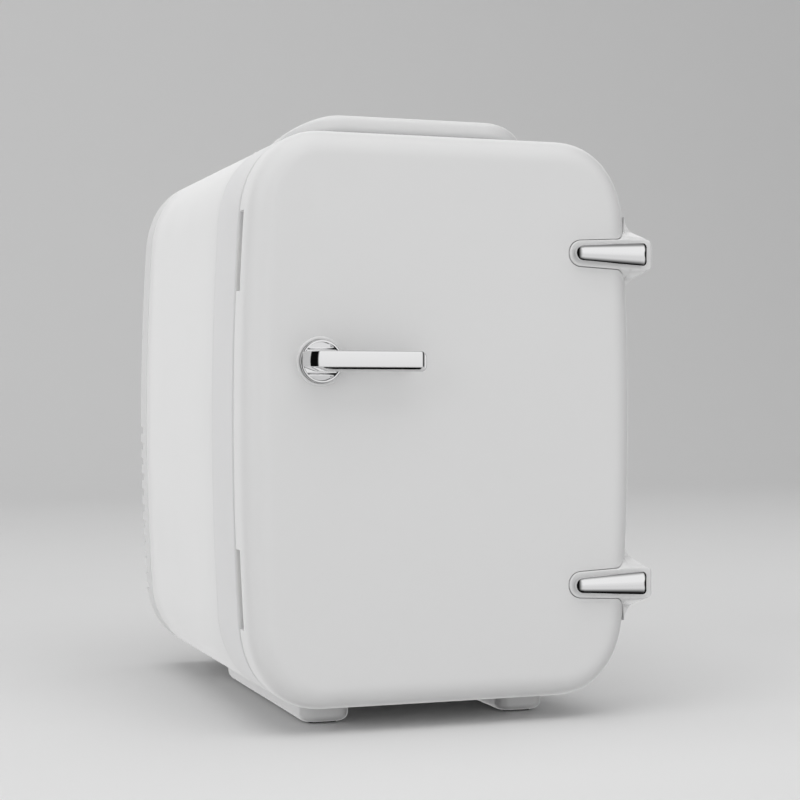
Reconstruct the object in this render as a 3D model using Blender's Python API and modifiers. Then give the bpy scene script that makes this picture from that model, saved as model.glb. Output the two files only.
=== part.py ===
"""Mini fridge: a bench-top thermoelectric fridge with a hinged door, a latch lever and a folding handle.

Run it with `blender --background --python part.py`, or from Blender's text editor.

Every size below is in millimetres, and the helpers turn it into metres. The fridge's own axes are: X across
the front, with 0 at the door's middle and + on the hinge side; Y from the door's front face (0) to the back;
and Z up from the floor. Heights called "rise" are measured from the middle of the body instead. One root
empty carries everything, so that the finished object stands centred on the world's origin.
"""

import math

import bmesh
import bpy
from mathutils import Matrix, Vector

MM = 0.001
GAP = 0.3                       # clear space left between two pieces that touch

# ---- The body's outline, seen from the front ----
BODY_HALF_WIDTH = 87.5
BODY_HALF_HEIGHT = 120.1
BODY_CENTRE_Z = 130.0
CORNER_RADIUS = 34.5
SIDE_BULGE = 2.7                # how far the sides' middles stand out past the ends of the corners
CORNER_PULL = 1.66              # length of the corner curve's end tangents, in corner radii
CORNER_STEPS = 6

# ---- Stations along the depth ----
DOOR_BACK = 20.5
FRAME_FRONT = 22.3
FRAME_BACK = 58.75
CASING_FRONT = FRAME_BACK + GAP
CASING_BACK = 203.8
COVER_FRONT = 204.2
COVER_BACK = 226.0
DOOR_FILLET = 10.7
COVER_FILLET = 9.0
WALL = 2.4
FLANGE = 2.5                    # thickness of the front frame's inward flange

# ---- The food cavity ----
LINER_HALF_WIDTH = 66.1
LINER_HALF_HEIGHT = 102.1
LINER_CORNER = 14.0
LINER_WALL = 1.6
LINER_FRONT = 22.6
LINER_BACK = 160.0
SHELF_FRONT = 40.0
SHELF_BACK = 132.0
SHELF_THICKNESS = 2.5
SHELF_RISE = -0.7
SHELF_SLOTS = 7
LEDGE_DEPTH = 3.4
LEDGE_THICKNESS = 2.0

# ---- The cooling stack, behind the cavity's lower half ----
STACK_RISE = -45.0
SINK_WINDOW = 25.0              # half size of the square hole that the cold block fills
EVAPORATOR_FRONT = 134.2
EVAPORATOR_HALF = 42.0
INNER_FAN_FRONT = 137.2
INNER_FAN_BACK = 145.2
COLD_SINK_FRONT = 146.2
COLD_SINK_BASE = 153.2
COLD_SINK_BACK = 157.8
COLD_BLOCK_BACK = 165.0
MODULE_BACK = 168.9
INSULATION_BACK = 168.9
HOT_SINK_FRONT = 169.2
HOT_SINK_BASE = 174.2
HOT_SINK_BACK = 196.0
FAN_FRONT = 196.3
FAN_BACK = 211.3

# ---- The door ----
DOOR_WALL = 2.6
DOOR_FRONT_WALL = 5.6
DOOR_FOAM_BACK = 17.8
DOOR_LINER_FRONT = 18.1
PLUG_HALF_WIDTH = 62.0
PLUG_HALF_HEIGHT = 98.0
PLUG_CORNER = 12.0
PLUG_BACK = 30.0
PLUG_WALL = 2.0
NOTCH_LOW = 53.4
NOTCH_HIGH = 86.7
NOTCH_FRONT = 13.3
NOTCH_REACH = 82.6
GASKET_INSET = 4.0
GASKET_HOLE_HALF_WIDTH = 70.0
GASKET_HOLE_HALF_HEIGHT = 105.0
GASKET_HOLE_CORNER = 16.0
BIN_BACK = 52.0
BIN_LOW = -95.0
BIN_HIGH = -58.0
BIN_HALF_WIDTH = 55.0
BIN_WALL = 1.8

# ---- The door's hinges, one above and one below the middle ----
HINGE_RISE = 71.4
HINGE_X = 91.0
HINGE_Y = 14.0
LEAF_LEFT = 55.7
LEAF_RIGHT = 95.3
LEAF_HALF_LEFT = 5.6
LEAF_HALF_RIGHT = 6.8
LEAF_PROUD = 0.8
LEAF_DEPTH = 2.4
LEAF_CORNER = 3.2
FLARE_HALF = 17.2
FLARE_LEFT = 86.2
FLARE_BACK = 9.0
KNUCKLE_RADIUS = 4.2
KNUCKLE_HALF = 3.6
LUG_RADIUS = 4.0
LUG_HALF = 6.5
BRACKET_BACK = 44.0
BRACKET_RIGHT = 90.9
PIN_RADIUS = 1.9
TRIM_LEFT = 57.6
TRIM_RIGHT = 91.2
TRIM_HALF_LEFT = 3.5
TRIM_HALF_RIGHT = 5.1
TRIM_PROUD = 5.0

# ---- The latch lever ----
LEVER_X = -55.8
LEVER_RISE = 24.2
LEVER_LEFT = -64.4
LEVER_RIGHT = -12.5
LEVER_HALF_HEIGHT = 4.25
LEVER_FRONT = -13.5
LEVER_BAR_BACK = -9.3
LEVER_FOOT = -3.8
ROSETTE_RADIUS = 9.0
HUB_RADIUS = 4.2
SPINDLE_RADIUS = 3.0
SPINDLE_FRONT = -7.5
SPINDLE_BACK = 33.4
CAM_FRONT = 31.0
CAM_BACK = 33.5
CAM_REACH = 20.0
CAM_HALF_WIDTH = 4.0

# ---- The carry handle, folded forward ----
HANDLE_PIVOT_Y = 108.0
HANDLE_PIVOT_RISE = 120.4
HANDLE_EYE_RADIUS = 3.6
HANDLE_PIN_RADIUS = 1.8
HANDLE_ARM_X = 49.5
HANDLE_ARM_WIDTH = 9.0
HANDLE_ARM_LOW = 120.8          # rises of the arm's lower and upper sides
HANDLE_ARM_TOP = 124.6
HANDLE_GRIP_Y = 47.0
HANDLE_GRIP_WIDTH = 14.0
HANDLE_GRIP_LOW = 124.5
HANDLE_GRIP_TOP = 132.5
HANDLE_CORNER = 16.0
CUP_CLEARANCE = 0.4             # room beside an arm's eye in its cup
CUP_HALF_LENGTH = 5.0
CUP_WALL = 1.2
CUP_BOTTOM = 115.0
CUP_TOP = 119.9
EAR_RADIUS = 3.0

# ---- Feet ----
FOOT_INNER = 34.0
FOOT_OUTER = 56.0
FOOT_FRONT = 27.0
FOOT_BACK = 165.0
FOOT_BOTTOM = -129.2
FOOT_CORNER = 6.0
FOOT_EDGE = 4.5                 # radius of the feet's lower edges
PAD_INSET = 5.0

# ---- Rear cover ----
VENT_PITCH = 8.0
VENT_HEIGHT = 3.6
VENT_COUNT = 11
VENT_TOP = -8.0
GRILLE_RADIUS = 37.0
SCREW_X = 67.0
SCREW_RISE = 99.0
SOCKET_RISE = 60.0
SOCKET_HALF_HEIGHT = 8.0
SOCKET_BACK = 225.2
AC_X = -28.0
DC_X = 2.0
SWITCH_X = 31.0
ROCKER_PIVOT_Y = 220.5

# ---- Finishes: colour, roughness, metallic ----
GLOSS_WHITE = ((0.86, 0.86, 0.86, 1.0), 0.28, 0.0)
SATIN_WHITE = ((0.80, 0.80, 0.80, 1.0), 0.42, 0.0)
INNER_WHITE = ((0.84, 0.85, 0.86, 1.0), 0.35, 0.0)
FOAM = ((0.93, 0.90, 0.78, 1.0), 0.9, 0.0)
CHROME = ((0.80, 0.80, 0.80, 1.0), 0.08, 1.0)
STEEL = ((0.55, 0.56, 0.58, 1.0), 0.35, 1.0)
ALUMINIUM = ((0.75, 0.76, 0.78, 1.0), 0.35, 1.0)
RUBBER = ((0.05, 0.05, 0.05, 1.0), 0.75, 0.0)
GREY_RUBBER = ((0.62, 0.63, 0.64, 1.0), 0.6, 0.0)
DARK_PLASTIC = ((0.03, 0.03, 0.035, 1.0), 0.5, 0.0)
CERAMIC = ((0.90, 0.90, 0.88, 1.0), 0.6, 0.0)
BOARD_GREEN = ((0.04, 0.22, 0.10, 1.0), 0.45, 0.0)
MAGNET = ((0.16, 0.16, 0.17, 1.0), 0.55, 0.0)

PLANE_TURNS = {
    "XZ": Matrix.Rotation(math.radians(90.0), 4, "X"),
    "XY": Matrix.Identity(4),
    "YZ": Matrix.Rotation(math.radians(90.0), 4, "Z") @ Matrix.Rotation(math.radians(90.0), 4, "X"),
}
PLANE_NORMALS = {"XZ": Vector((0, 1, 0)), "XY": Vector((0, 0, 1)), "YZ": Vector((1, 0, 0))}
AXIS_TURNS = {
    "X": Matrix.Rotation(math.radians(90.0), 4, "Y"),
    "Y": Matrix.Rotation(math.radians(-90.0), 4, "X"),
    "-Y": Matrix.Rotation(math.radians(90.0), 4, "X"),
    "Z": Matrix.Identity(4),
}


# ---------------------------------------------------------------- scene and object helpers

def clear_scene():
    """Remove every object of the scene, so that the model starts from nothing."""
    for obj in list(bpy.data.objects):
        bpy.data.objects.remove(obj, do_unlink=True)


def make_collection(name):
    """Make a collection under the scene and return it."""
    collection = bpy.data.collections.new(name)
    bpy.context.scene.collection.children.link(collection)
    return collection


def make_empty(name, location_mm, parent=None):
    """Make an empty at a place given in the fridge's own axes, and hang it on its parent."""
    empty = bpy.data.objects.new(name, None)
    empty.empty_display_size = 10 * MM
    empty["place_mm"] = tuple(location_mm)
    PARTS.objects.link(empty)
    offset = Vector(location_mm)
    if parent is not None:
        empty.parent = parent
        offset = offset - Vector(parent["place_mm"])
    empty.location = offset * MM
    return empty


def make_object(name, mesh):
    """Wrap a mesh, given in the fridge's own axes, in an object that waits among the cutters."""
    obj = bpy.data.objects.new(name, mesh)
    obj.hide_render = True
    obj.display_type = "WIRE"
    obj.parent = ROOT
    CUTTERS.objects.link(obj)
    return obj


def finish(obj, name, look, parent=None, crease_deg=35.0):
    """Turn a solid into a named part: its collection, its parent empty, its shading and its own material."""
    CUTTERS.objects.unlink(obj)
    PARTS.objects.link(obj)
    obj.name = name
    obj.hide_render = False
    obj.display_type = "TEXTURED"
    if parent is not None:
        obj.parent = parent
        obj.location = obj.location - Vector(parent["place_mm"]) * MM
    colour, roughness, metallic = look
    material = bpy.data.materials.new(name)
    material.use_nodes = True
    shader = material.node_tree.nodes["Principled BSDF"]
    shader.inputs["Base Color"].default_value = colour
    shader.inputs["Roughness"].default_value = roughness
    shader.inputs["Metallic"].default_value = metallic
    obj.data.materials.clear()
    obj.data.materials.append(material)
    obj.data.shade_smooth()
    obj.data.set_sharp_from_angle(angle=math.radians(crease_deg))
    return obj


def boolean(target, operand, operation):
    """Add one Boolean modifier that keeps the exact solver."""
    modifier = target.modifiers.new(f"{operation.lower()}_{operand.name}", "BOOLEAN")
    modifier.operation = operation
    modifier.object = operand
    return target


def cut(target, *cutters):
    """Take each cutter's volume away from the target."""
    for cutter in cutters:
        boolean(target, cutter, "DIFFERENCE")
    return target


def unite(target, *others):
    """Weld each other solid onto the target, making one body."""
    for other in others:
        boolean(target, other, "UNION")
    return target


# ---------------------------------------------------------------- solids

def outline_solid(name, outline, low, high, plane="XZ", holes=()):
    """Extrude a flat closed outline from one station to another along the plane's normal.

    The outline is a list of (u, v) in the plane's two axes, and each hole is another such list.
    """
    curve = bpy.data.curves.new(name, "CURVE")
    curve.dimensions = "2D"
    curve.fill_mode = "BOTH"
    curve.extrude = (high - low) / 2 * MM
    for loop in (outline, *holes):
        spline = curve.splines.new("POLY")
        spline.points.add(len(loop) - 1)
        for point, (u, v) in zip(spline.points, loop):
            point.co = (u * MM, v * MM, 0.0, 1.0)
        spline.use_cyclic_u = True
    guide = bpy.data.objects.new(name, curve)
    CUTTERS.objects.link(guide)
    bpy.context.view_layer.update()
    depsgraph = bpy.context.evaluated_depsgraph_get()
    mesh = bpy.data.meshes.new_from_object(guide.evaluated_get(depsgraph))
    bpy.data.objects.remove(guide, do_unlink=True)
    move = Matrix.Translation(PLANE_NORMALS[plane] * (low + high) / 2 * MM)
    mesh.transform(move @ PLANE_TURNS[plane])
    solid = bmesh.new()
    solid.from_mesh(mesh)
    bmesh.ops.remove_doubles(solid, verts=solid.verts, dist=1e-6)
    bmesh.ops.dissolve_limit(solid, angle_limit=math.radians(0.1), verts=[], edges=solid.edges)
    bmesh.ops.recalc_face_normals(solid, faces=solid.faces)
    solid.to_mesh(mesh)
    solid.free()
    return make_object(name, mesh)


def box(name, low, high):
    """A box between two opposite corners."""
    size = [b - a for a, b in zip(low, high)]
    centre = [(a + b) / 2 for a, b in zip(low, high)]
    place = Matrix.Translation(Vector(centre) * MM) @ Matrix.Diagonal((*[s * MM for s in size], 1.0))
    solid = bmesh.new()
    bmesh.ops.create_cube(solid, size=1.0, matrix=place)
    mesh = bpy.data.meshes.new(name)
    solid.to_mesh(mesh)
    solid.free()
    return make_object(name, mesh)


def cylinder(name, centre, axis, radius, low, high, segments=24):
    """A round bar along an axis, from the station low to the station high of that axis.

    The centre gives the other two coordinates; its value along the bar's own axis is ignored.
    """
    index = "XYZ".index(axis)
    middle = list(centre)
    middle[index] = (low + high) / 2
    place = Matrix.Translation(Vector(middle) * MM) @ AXIS_TURNS[axis]
    solid = bmesh.new()
    bmesh.ops.create_cone(solid, cap_ends=True, segments=segments, radius1=radius * MM, radius2=radius * MM,
                          depth=(high - low) * MM, matrix=place)
    mesh = bpy.data.meshes.new(name)
    solid.to_mesh(mesh)
    solid.free()
    return make_object(name, mesh)


def turned(name, profile, place, axis="-Y", closed=False, steps=32):
    """A turned solid: (radius, height) points, top to bottom down the outer side, spun about the axis.

    A closed profile is a ring's section; an open one starts and ends on the axis.
    """
    mesh = bpy.data.meshes.new(name)
    points = [(radius * MM, 0.0, height * MM) for radius, height in profile]
    edges = [(i, i + 1) for i in range(len(points) - 1)]
    if closed:
        edges.append((len(points) - 1, 0))
    mesh.from_pydata(points, edges, [])
    obj = make_object(name, mesh)
    screw = obj.modifiers.new("turn", "SCREW")
    screw.steps = steps
    screw.render_steps = steps
    screw.use_merge_vertices = True
    screw.merge_threshold = 1e-6
    screw.use_smooth_shade = True
    obj.location = Vector(place) * MM
    obj.rotation_euler = AXIS_TURNS[axis].to_euler()
    return obj


def round_rim(obj, station, radius, segments, axis="Y"):
    """Round the edges that lie in one plane, such as the front rim of a panel."""
    index = "XYZ".index(axis)
    solid = bmesh.new()
    solid.from_mesh(obj.data)
    rim = [edge for edge in solid.edges if all(abs(v.co[index] - station * MM) < 1e-6 for v in edge.verts)]
    bmesh.ops.bevel(solid, geom=rim, offset=radius * MM, offset_type="OFFSET", segments=segments, profile=0.5,
                    affect="EDGES", clamp_overlap=True)
    solid.to_mesh(obj.data)
    solid.free()
    return obj


# ---------------------------------------------------------------- outlines

def hermite(start, end, start_pull, end_pull, steps):
    """Points along a cubic Hermite curve, both ends included."""
    points = []
    for i in range(steps + 1):
        s = i / steps
        weights = (2 * s**3 - 3 * s**2 + 1, s**3 - 2 * s**2 + s, -2 * s**3 + 3 * s**2, s**3 - s**2)
        terms = (start, start_pull, end, end_pull)
        points.append(tuple(sum(w * term[k] for w, term in zip(weights, terms)) for k in range(2)))
    return points


def arc(centre, radius, start_deg, end_deg, steps, radius_v=None):
    """Points along an arc of a circle, or of an ellipse when radius_v is given, both ends included."""
    radius_v = radius if radius_v is None else radius_v
    angles = [math.radians(start_deg + (end_deg - start_deg) * i / steps) for i in range(steps + 1)]
    return [(centre[0] + radius * math.cos(a), centre[1] + radius_v * math.sin(a)) for a in angles]


def four_quarters(quarter):
    """Mirror a quarter outline, which starts on the u axis, into the whole closed outline."""
    upper_left = [(-u, v) for u, v in reversed(quarter)]
    lower_left = [(-u, -v) for u, v in quarter[1:]]
    lower_right = [(u, -v) for u, v in reversed(quarter[1:])]
    return quarter + upper_left + lower_left + lower_right


def at_rise(outline, rise=0.0, u=0.0):
    """Shift an outline sideways and up to a rise above the body's middle."""
    return [(a + u, b + BODY_CENTRE_Z + rise) for a, b in outline]


def body_outline(inset=0.0):
    """The body seen from the front: bulged sides, flat top and bottom, wide soft corners."""
    half_width = BODY_HALF_WIDTH - inset
    half_height = BODY_HALF_HEIGHT - inset
    radius = CORNER_RADIUS - inset
    corner_z = half_height - radius
    side_steps = 2
    side = []
    for i in range(side_steps):
        z = corner_z * i / side_steps
        side.append((half_width - SIDE_BULGE * (z / corner_z) ** 2, z))
    pull = CORNER_PULL * radius
    lean = 2 * SIDE_BULGE / corner_z
    length = math.hypot(lean, 1.0)
    corner = hermite((half_width - SIDE_BULGE, corner_z), (half_width - radius, half_height),
                     (-lean / length * pull, pull / length), (-pull, 0.0), CORNER_STEPS)
    return at_rise(four_quarters(side + corner))


def rounded_rectangle(half_u, half_v, radius, steps=4):
    """A rectangle with round corners, centred on nothing yet."""
    corner = arc((half_u - radius, half_v - radius), radius, 0.0, 90.0, steps)
    return corner + [(-u, v) for u, v in reversed(corner)] + [(-u, -v) for u, v in corner] \
        + [(u, -v) for u, v in reversed(corner)]


def body_slab(name, low, high, inset=0.0):
    """A slab with the body's outline between two depth stations."""
    return outline_solid(name, body_outline(inset), low, high)


def cavity_slab(name, low, high, half_width, half_height, radius):
    """A slab with a rounded rectangle's outline, centred on the body."""
    return outline_solid(name, at_rise(rounded_rectangle(half_width, half_height, radius)), low, high)


# ---------------------------------------------------------------- cabinet shells

def build_front_frame():
    """The front frame: a rounded band with an inward flange around the cavity's mouth."""
    frame = round_rim(body_slab("front_frame", FRAME_FRONT, FRAME_BACK), FRAME_FRONT, 1.2, 2)
    hollow = body_slab("frame_hollow", FRAME_FRONT + FLANGE, FRAME_BACK + 10, WALL)
    mouth = cavity_slab("frame_mouth", FRAME_FRONT - 10, FRAME_FRONT + FLANGE + 10,
                        LINER_HALF_WIDTH + GAP, LINER_HALF_HEIGHT + GAP, LINER_CORNER + GAP)
    finish(cut(frame, hollow, mouth), "front_frame", SATIN_WHITE)


def screw_places():
    """The four cover screws' (x, rise) places."""
    return [(x, rise) for rise in (SCREW_RISE, -SCREW_RISE) for x in (-SCREW_X, SCREW_X)]


def build_casing():
    """The casing: the body's long band, with posts for the cover's screws and slots for the handle's cups."""
    post_front = 190.0
    post_radius = 4.5
    casing = body_slab("casing", CASING_FRONT, CASING_BACK)
    cut(casing, body_slab("casing_hollow", CASING_FRONT - 10, CASING_BACK + 10, WALL))
    for x, rise in screw_places():
        z = BODY_CENTRE_Z + rise
        wall_x = math.copysign(BODY_HALF_WIDTH - 7.5, x)
        rib = box("post_rib", (min(x, wall_x), post_front, z - 1.2), (max(x, wall_x), CASING_BACK, z + 1.2))
        post = cylinder("post", (x, 0, z), "Y", post_radius, post_front, CASING_BACK)
        bore = cylinder("post_bore", (x, 0, z), "Y", 1.9, post_front + 1.5, CASING_BACK + 5)
        unite(casing, rib, post)
        cut(casing, bore)
    cut(casing, *cup_pockets(110.0))
    finish(casing, "casing", GLOSS_WHITE)


def vent_cutters():
    """Level slots that wrap round both rear edges of the cover."""
    cutters = []
    slot_front = 213.0
    slot_inner = 64.0
    for i in range(VENT_COUNT):
        z = BODY_CENTRE_Z + VENT_TOP - VENT_PITCH * i
        for side in (-1.0, 1.0):
            ends = sorted((side * slot_inner, side * (BODY_HALF_WIDTH + 10)))
            cutters.append(box("vent", (ends[0], slot_front, z - VENT_HEIGHT / 2),
                               (ends[1], COVER_BACK + 10, z + VENT_HEIGHT / 2)))
    return cutters


def grille_cutters():
    """Level slots that fill a round area behind the fan, each as long as the circle is wide there."""
    cutters = []
    count = 9
    for i in range(count):
        rise = (i - (count - 1) / 2) * VENT_PITCH
        half = math.sqrt(GRILLE_RADIUS**2 - rise**2)
        z = BODY_CENTRE_Z + STACK_RISE + rise
        cutters.append(box("grille_slot", (-half, COVER_BACK - 10, z - VENT_HEIGHT / 2),
                           (half, COVER_BACK + 10, z + VENT_HEIGHT / 2)))
    return cutters


def socket_windows():
    """The three holes that the inlets and the switch pass through."""
    windows = []
    z = BODY_CENTRE_Z + SOCKET_RISE
    for x, half in ((AC_X, 14.0), (DC_X, 8.0), (SWITCH_X, 13.0)):
        windows.append(box("socket_window", (x - half - GAP, COVER_BACK - 12, z - SOCKET_HALF_HEIGHT - GAP),
                           (x + half + GAP, COVER_BACK + 10, z + SOCKET_HALF_HEIGHT + GAP)))
    return windows


def build_rear_cover():
    """The rear cover: a shallow tray with a soft rear edge, vents, a fan grille and screw tubes."""
    head_seat = 219.8
    cover = round_rim(body_slab("rear_cover", COVER_FRONT, COVER_BACK), COVER_BACK, COVER_FILLET, 3)
    hollow = round_rim(body_slab("cover_hollow", COVER_FRONT - 10, COVER_BACK - WALL, WALL),
                       COVER_BACK - WALL, COVER_FILLET - WALL, 2)
    cut(cover, hollow)
    for x, rise in screw_places():
        z = BODY_CENTRE_Z + rise
        unite(cover, cylinder("screw_tube", (x, 0, z), "Y", 4.5, COVER_FRONT, COVER_BACK - 1.2))
        cut(cover, cylinder("screw_bore", (x, 0, z), "Y", 1.9, COVER_FRONT - 5, COVER_BACK + 5))
        cut(cover, cylinder("screw_seat", (x, 0, z), "Y", 3.4, head_seat - 2.6, COVER_BACK + 5))
    cut(cover, *vent_cutters(), *grille_cutters(), *socket_windows())
    finish(cover, "rear_cover", SATIN_WHITE)
    for number, (x, rise) in enumerate(screw_places(), start=1):
        profile = [(0.0, 2.2), (2.4, 2.2), (3.0, 1.6), (3.0, 0.0), (1.6, 0.0), (1.6, -24.0), (0.0, -25.5)]
        place = (x, head_seat - 2.3, BODY_CENTRE_Z + rise)
        screw = turned(f"screw_{number}", profile, place, axis="Y", steps=12)
        finish(screw, f"rear_cover_screw_{number}", STEEL)


def build_insulation():
    """The foam between the shells and the cavity's liner."""
    foam_front = FRAME_FRONT + FLANGE + 2.2
    foam = body_slab("insulation", foam_front, INSULATION_BACK, WALL + 0.4)
    well = cavity_slab("foam_well", foam_front - 10, LINER_BACK + GAP, LINER_HALF_WIDTH + GAP,
                       LINER_HALF_HEIGHT + GAP, LINER_CORNER + GAP)
    z = BODY_CENTRE_Z + STACK_RISE
    window = box("foam_window", (-SINK_WINDOW, LINER_BACK - 5, z - SINK_WINDOW),
                 (SINK_WINDOW, INSULATION_BACK + 5, z + SINK_WINDOW))
    keeper_low, keeper_high = keeper_span()
    pocket = box("keeper_pocket", (-80.0, foam_front - 5, keeper_low),
                 (-LINER_HALF_WIDTH + 2, 36.0, keeper_high))
    cut(foam, well, window, pocket, *cup_pockets(CUP_BOTTOM - GAP))
    finish(foam, "insulation", FOAM)


def keeper_span():
    """The heights between which the cam sweeps through the cavity's left wall."""
    middle = BODY_CENTRE_Z + LEVER_RISE
    return middle - CAM_REACH - 2.0, middle + CAM_HALF_WIDTH + 3.0


def build_liner():
    """The cavity's liner: a sleeve with two shelf ledges and the cam's slot, and a windowed back wall."""
    sleeve_back = LINER_BACK - LINER_WALL - GAP
    liner = cavity_slab("inner_liner", LINER_FRONT, sleeve_back, LINER_HALF_WIDTH, LINER_HALF_HEIGHT,
                        LINER_CORNER)
    hollow = cavity_slab("liner_hollow", LINER_FRONT - 10, LINER_BACK + 10,
                         LINER_HALF_WIDTH - LINER_WALL,
                         LINER_HALF_HEIGHT - LINER_WALL, LINER_CORNER - LINER_WALL)
    cut(liner, hollow)
    inner = LINER_HALF_WIDTH - LINER_WALL
    ledge_top = BODY_CENTRE_Z + SHELF_RISE - GAP
    for side in (-1.0, 1.0):
        ends = sorted((side * (inner - LEDGE_DEPTH), side * (inner + 0.8)))
        unite(liner, box("ledge", (ends[0], SHELF_FRONT, ledge_top - LEDGE_THICKNESS),
                         (ends[1], SHELF_BACK, ledge_top)))
    z = BODY_CENTRE_Z + STACK_RISE
    window = box("liner_window", (-SINK_WINDOW, LINER_BACK - 10, z - SINK_WINDOW),
                 (SINK_WINDOW, LINER_BACK + 10, z + SINK_WINDOW))
    keeper_low, keeper_high = keeper_span()
    slot = box("keeper_slot", (-LINER_HALF_WIDTH - 5, CAM_FRONT - 1.5, keeper_low),
               (-inner + 5, CAM_BACK + 1.5, keeper_high))
    finish(cut(liner, slot), "inner_liner", INNER_WHITE)
    wall = cavity_slab("liner_back_wall", LINER_BACK - LINER_WALL, LINER_BACK, LINER_HALF_WIDTH,
                       LINER_HALF_HEIGHT, LINER_CORNER)
    finish(cut(wall, window), "liner_back_wall", INNER_WHITE)


def build_shelf():
    """The slotted shelf that rests on the liner's two ledges."""
    half_width = LINER_HALF_WIDTH - LINER_WALL - 0.5
    low = BODY_CENTRE_Z + SHELF_RISE
    shelf = box("shelf", (-half_width, SHELF_FRONT, low), (half_width, SHELF_BACK, low + SHELF_THICKNESS))
    pitch = 2 * half_width / (SHELF_SLOTS + 1)
    slot_half = 3.0
    for i in range(SHELF_SLOTS):
        x = (i - (SHELF_SLOTS - 1) / 2) * pitch
        cut(shelf, box("shelf_slot", (x - slot_half, SHELF_FRONT + 9, low - 5),
                       (x + slot_half, SHELF_BACK - 9, low + SHELF_THICKNESS + 5)))
    finish(shelf, "shelf", INNER_WHITE)


def build_latch_plates():
    """The steel keeper behind the frame's flange, and the strike plate that the door's magnet pulls on."""
    front = FRAME_FRONT + FLANGE + GAP
    back = front + 1.6
    keeper_low, keeper_high = keeper_span()
    finish(box("keeper_plate", (-83.8, front, keeper_low), (-66.8, back, keeper_high)), "keeper_plate", STEEL)
    low = BODY_CENTRE_Z - 32.0
    finish(box("strike_plate", (-83.8, front, low), (-67.5, back, low + 24.0)), "strike_plate", STEEL)


# ---------------------------------------------------------------- cooling stack

def comb_outline(half_width, base_back, base_front, tip, count, thickness):
    """The plan of a finned sink: a base bar with fins standing on its tip side, the end ones flush."""
    points = [(-half_width, base_back), (half_width, base_back)]
    pitch = (2 * half_width - thickness) / (count - 1)
    for i in reversed(range(count)):
        left = -half_width + pitch * i
        right = left + thickness
        if i < count - 1:
            points.append((right, base_front))
        points += [(right, tip), (left, tip)]
        if i > 0:
            points.append((left, base_front))
    return points


def build_cooling_stack():
    """Cold sink, cold block, thermoelectric module and hot sink, one behind the other."""
    z = BODY_CENTRE_Z + STACK_RISE
    fins = comb_outline(34.0, COLD_SINK_BACK, COLD_SINK_BASE, COLD_SINK_FRONT, 10, 1.5)
    cold = outline_solid("cold_sink", fins, z - 34.0, z + 34.0, plane="XY")
    finish(cold, "cold_sink", ALUMINIUM)
    half = SINK_WINDOW - GAP
    finish(box("cold_block", (-half, COLD_SINK_BACK + GAP, z - half), (half, COLD_BLOCK_BACK, z + half)),
           "cold_block", ALUMINIUM)
    finish(box("thermoelectric_module", (-20, COLD_BLOCK_BACK + GAP, z - 20), (20, MODULE_BACK, z + 20)),
           "thermoelectric_module", CERAMIC)
    hot = outline_solid("hot_sink", comb_outline(42.0, HOT_SINK_FRONT, HOT_SINK_BASE, HOT_SINK_BACK, 12, 1.6),
                        z - 40.0, z + 40.0, plane="XY")
    finish(hot, "hot_sink", ALUMINIUM)
    cover = box("evaporator_cover", (-EVAPORATOR_HALF, EVAPORATOR_FRONT, z - EVAPORATOR_HALF),
                (EVAPORATOR_HALF, LINER_BACK - LINER_WALL - GAP, z + EVAPORATOR_HALF))
    inner = EVAPORATOR_HALF - 2.0
    cut(cover, box("evaporator_hollow", (-inner, EVAPORATOR_FRONT + 2.0, z - inner),
                   (inner, LINER_BACK + 5, z + inner)))
    for i in range(5):
        rise = (i - 2) * VENT_PITCH
        reach = math.sqrt(22.0**2 - rise**2)
        cut(cover, box("air_slot", (-reach, EVAPORATOR_FRONT - 5, z + rise - 1.8),
                       (reach, EVAPORATOR_FRONT + 5, z + rise + 1.8)))
    for x in (-24.0, -8.0, 8.0, 24.0):
        cut(cover, box("air_outlet", (x - 5, COLD_SINK_FRONT + 1, z - EVAPORATOR_HALF - 5),
                       (x + 5, COLD_SINK_FRONT + 5, z + EVAPORATOR_HALF + 5)))
    finish(cover, "evaporator_cover", INNER_WHITE)


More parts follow.
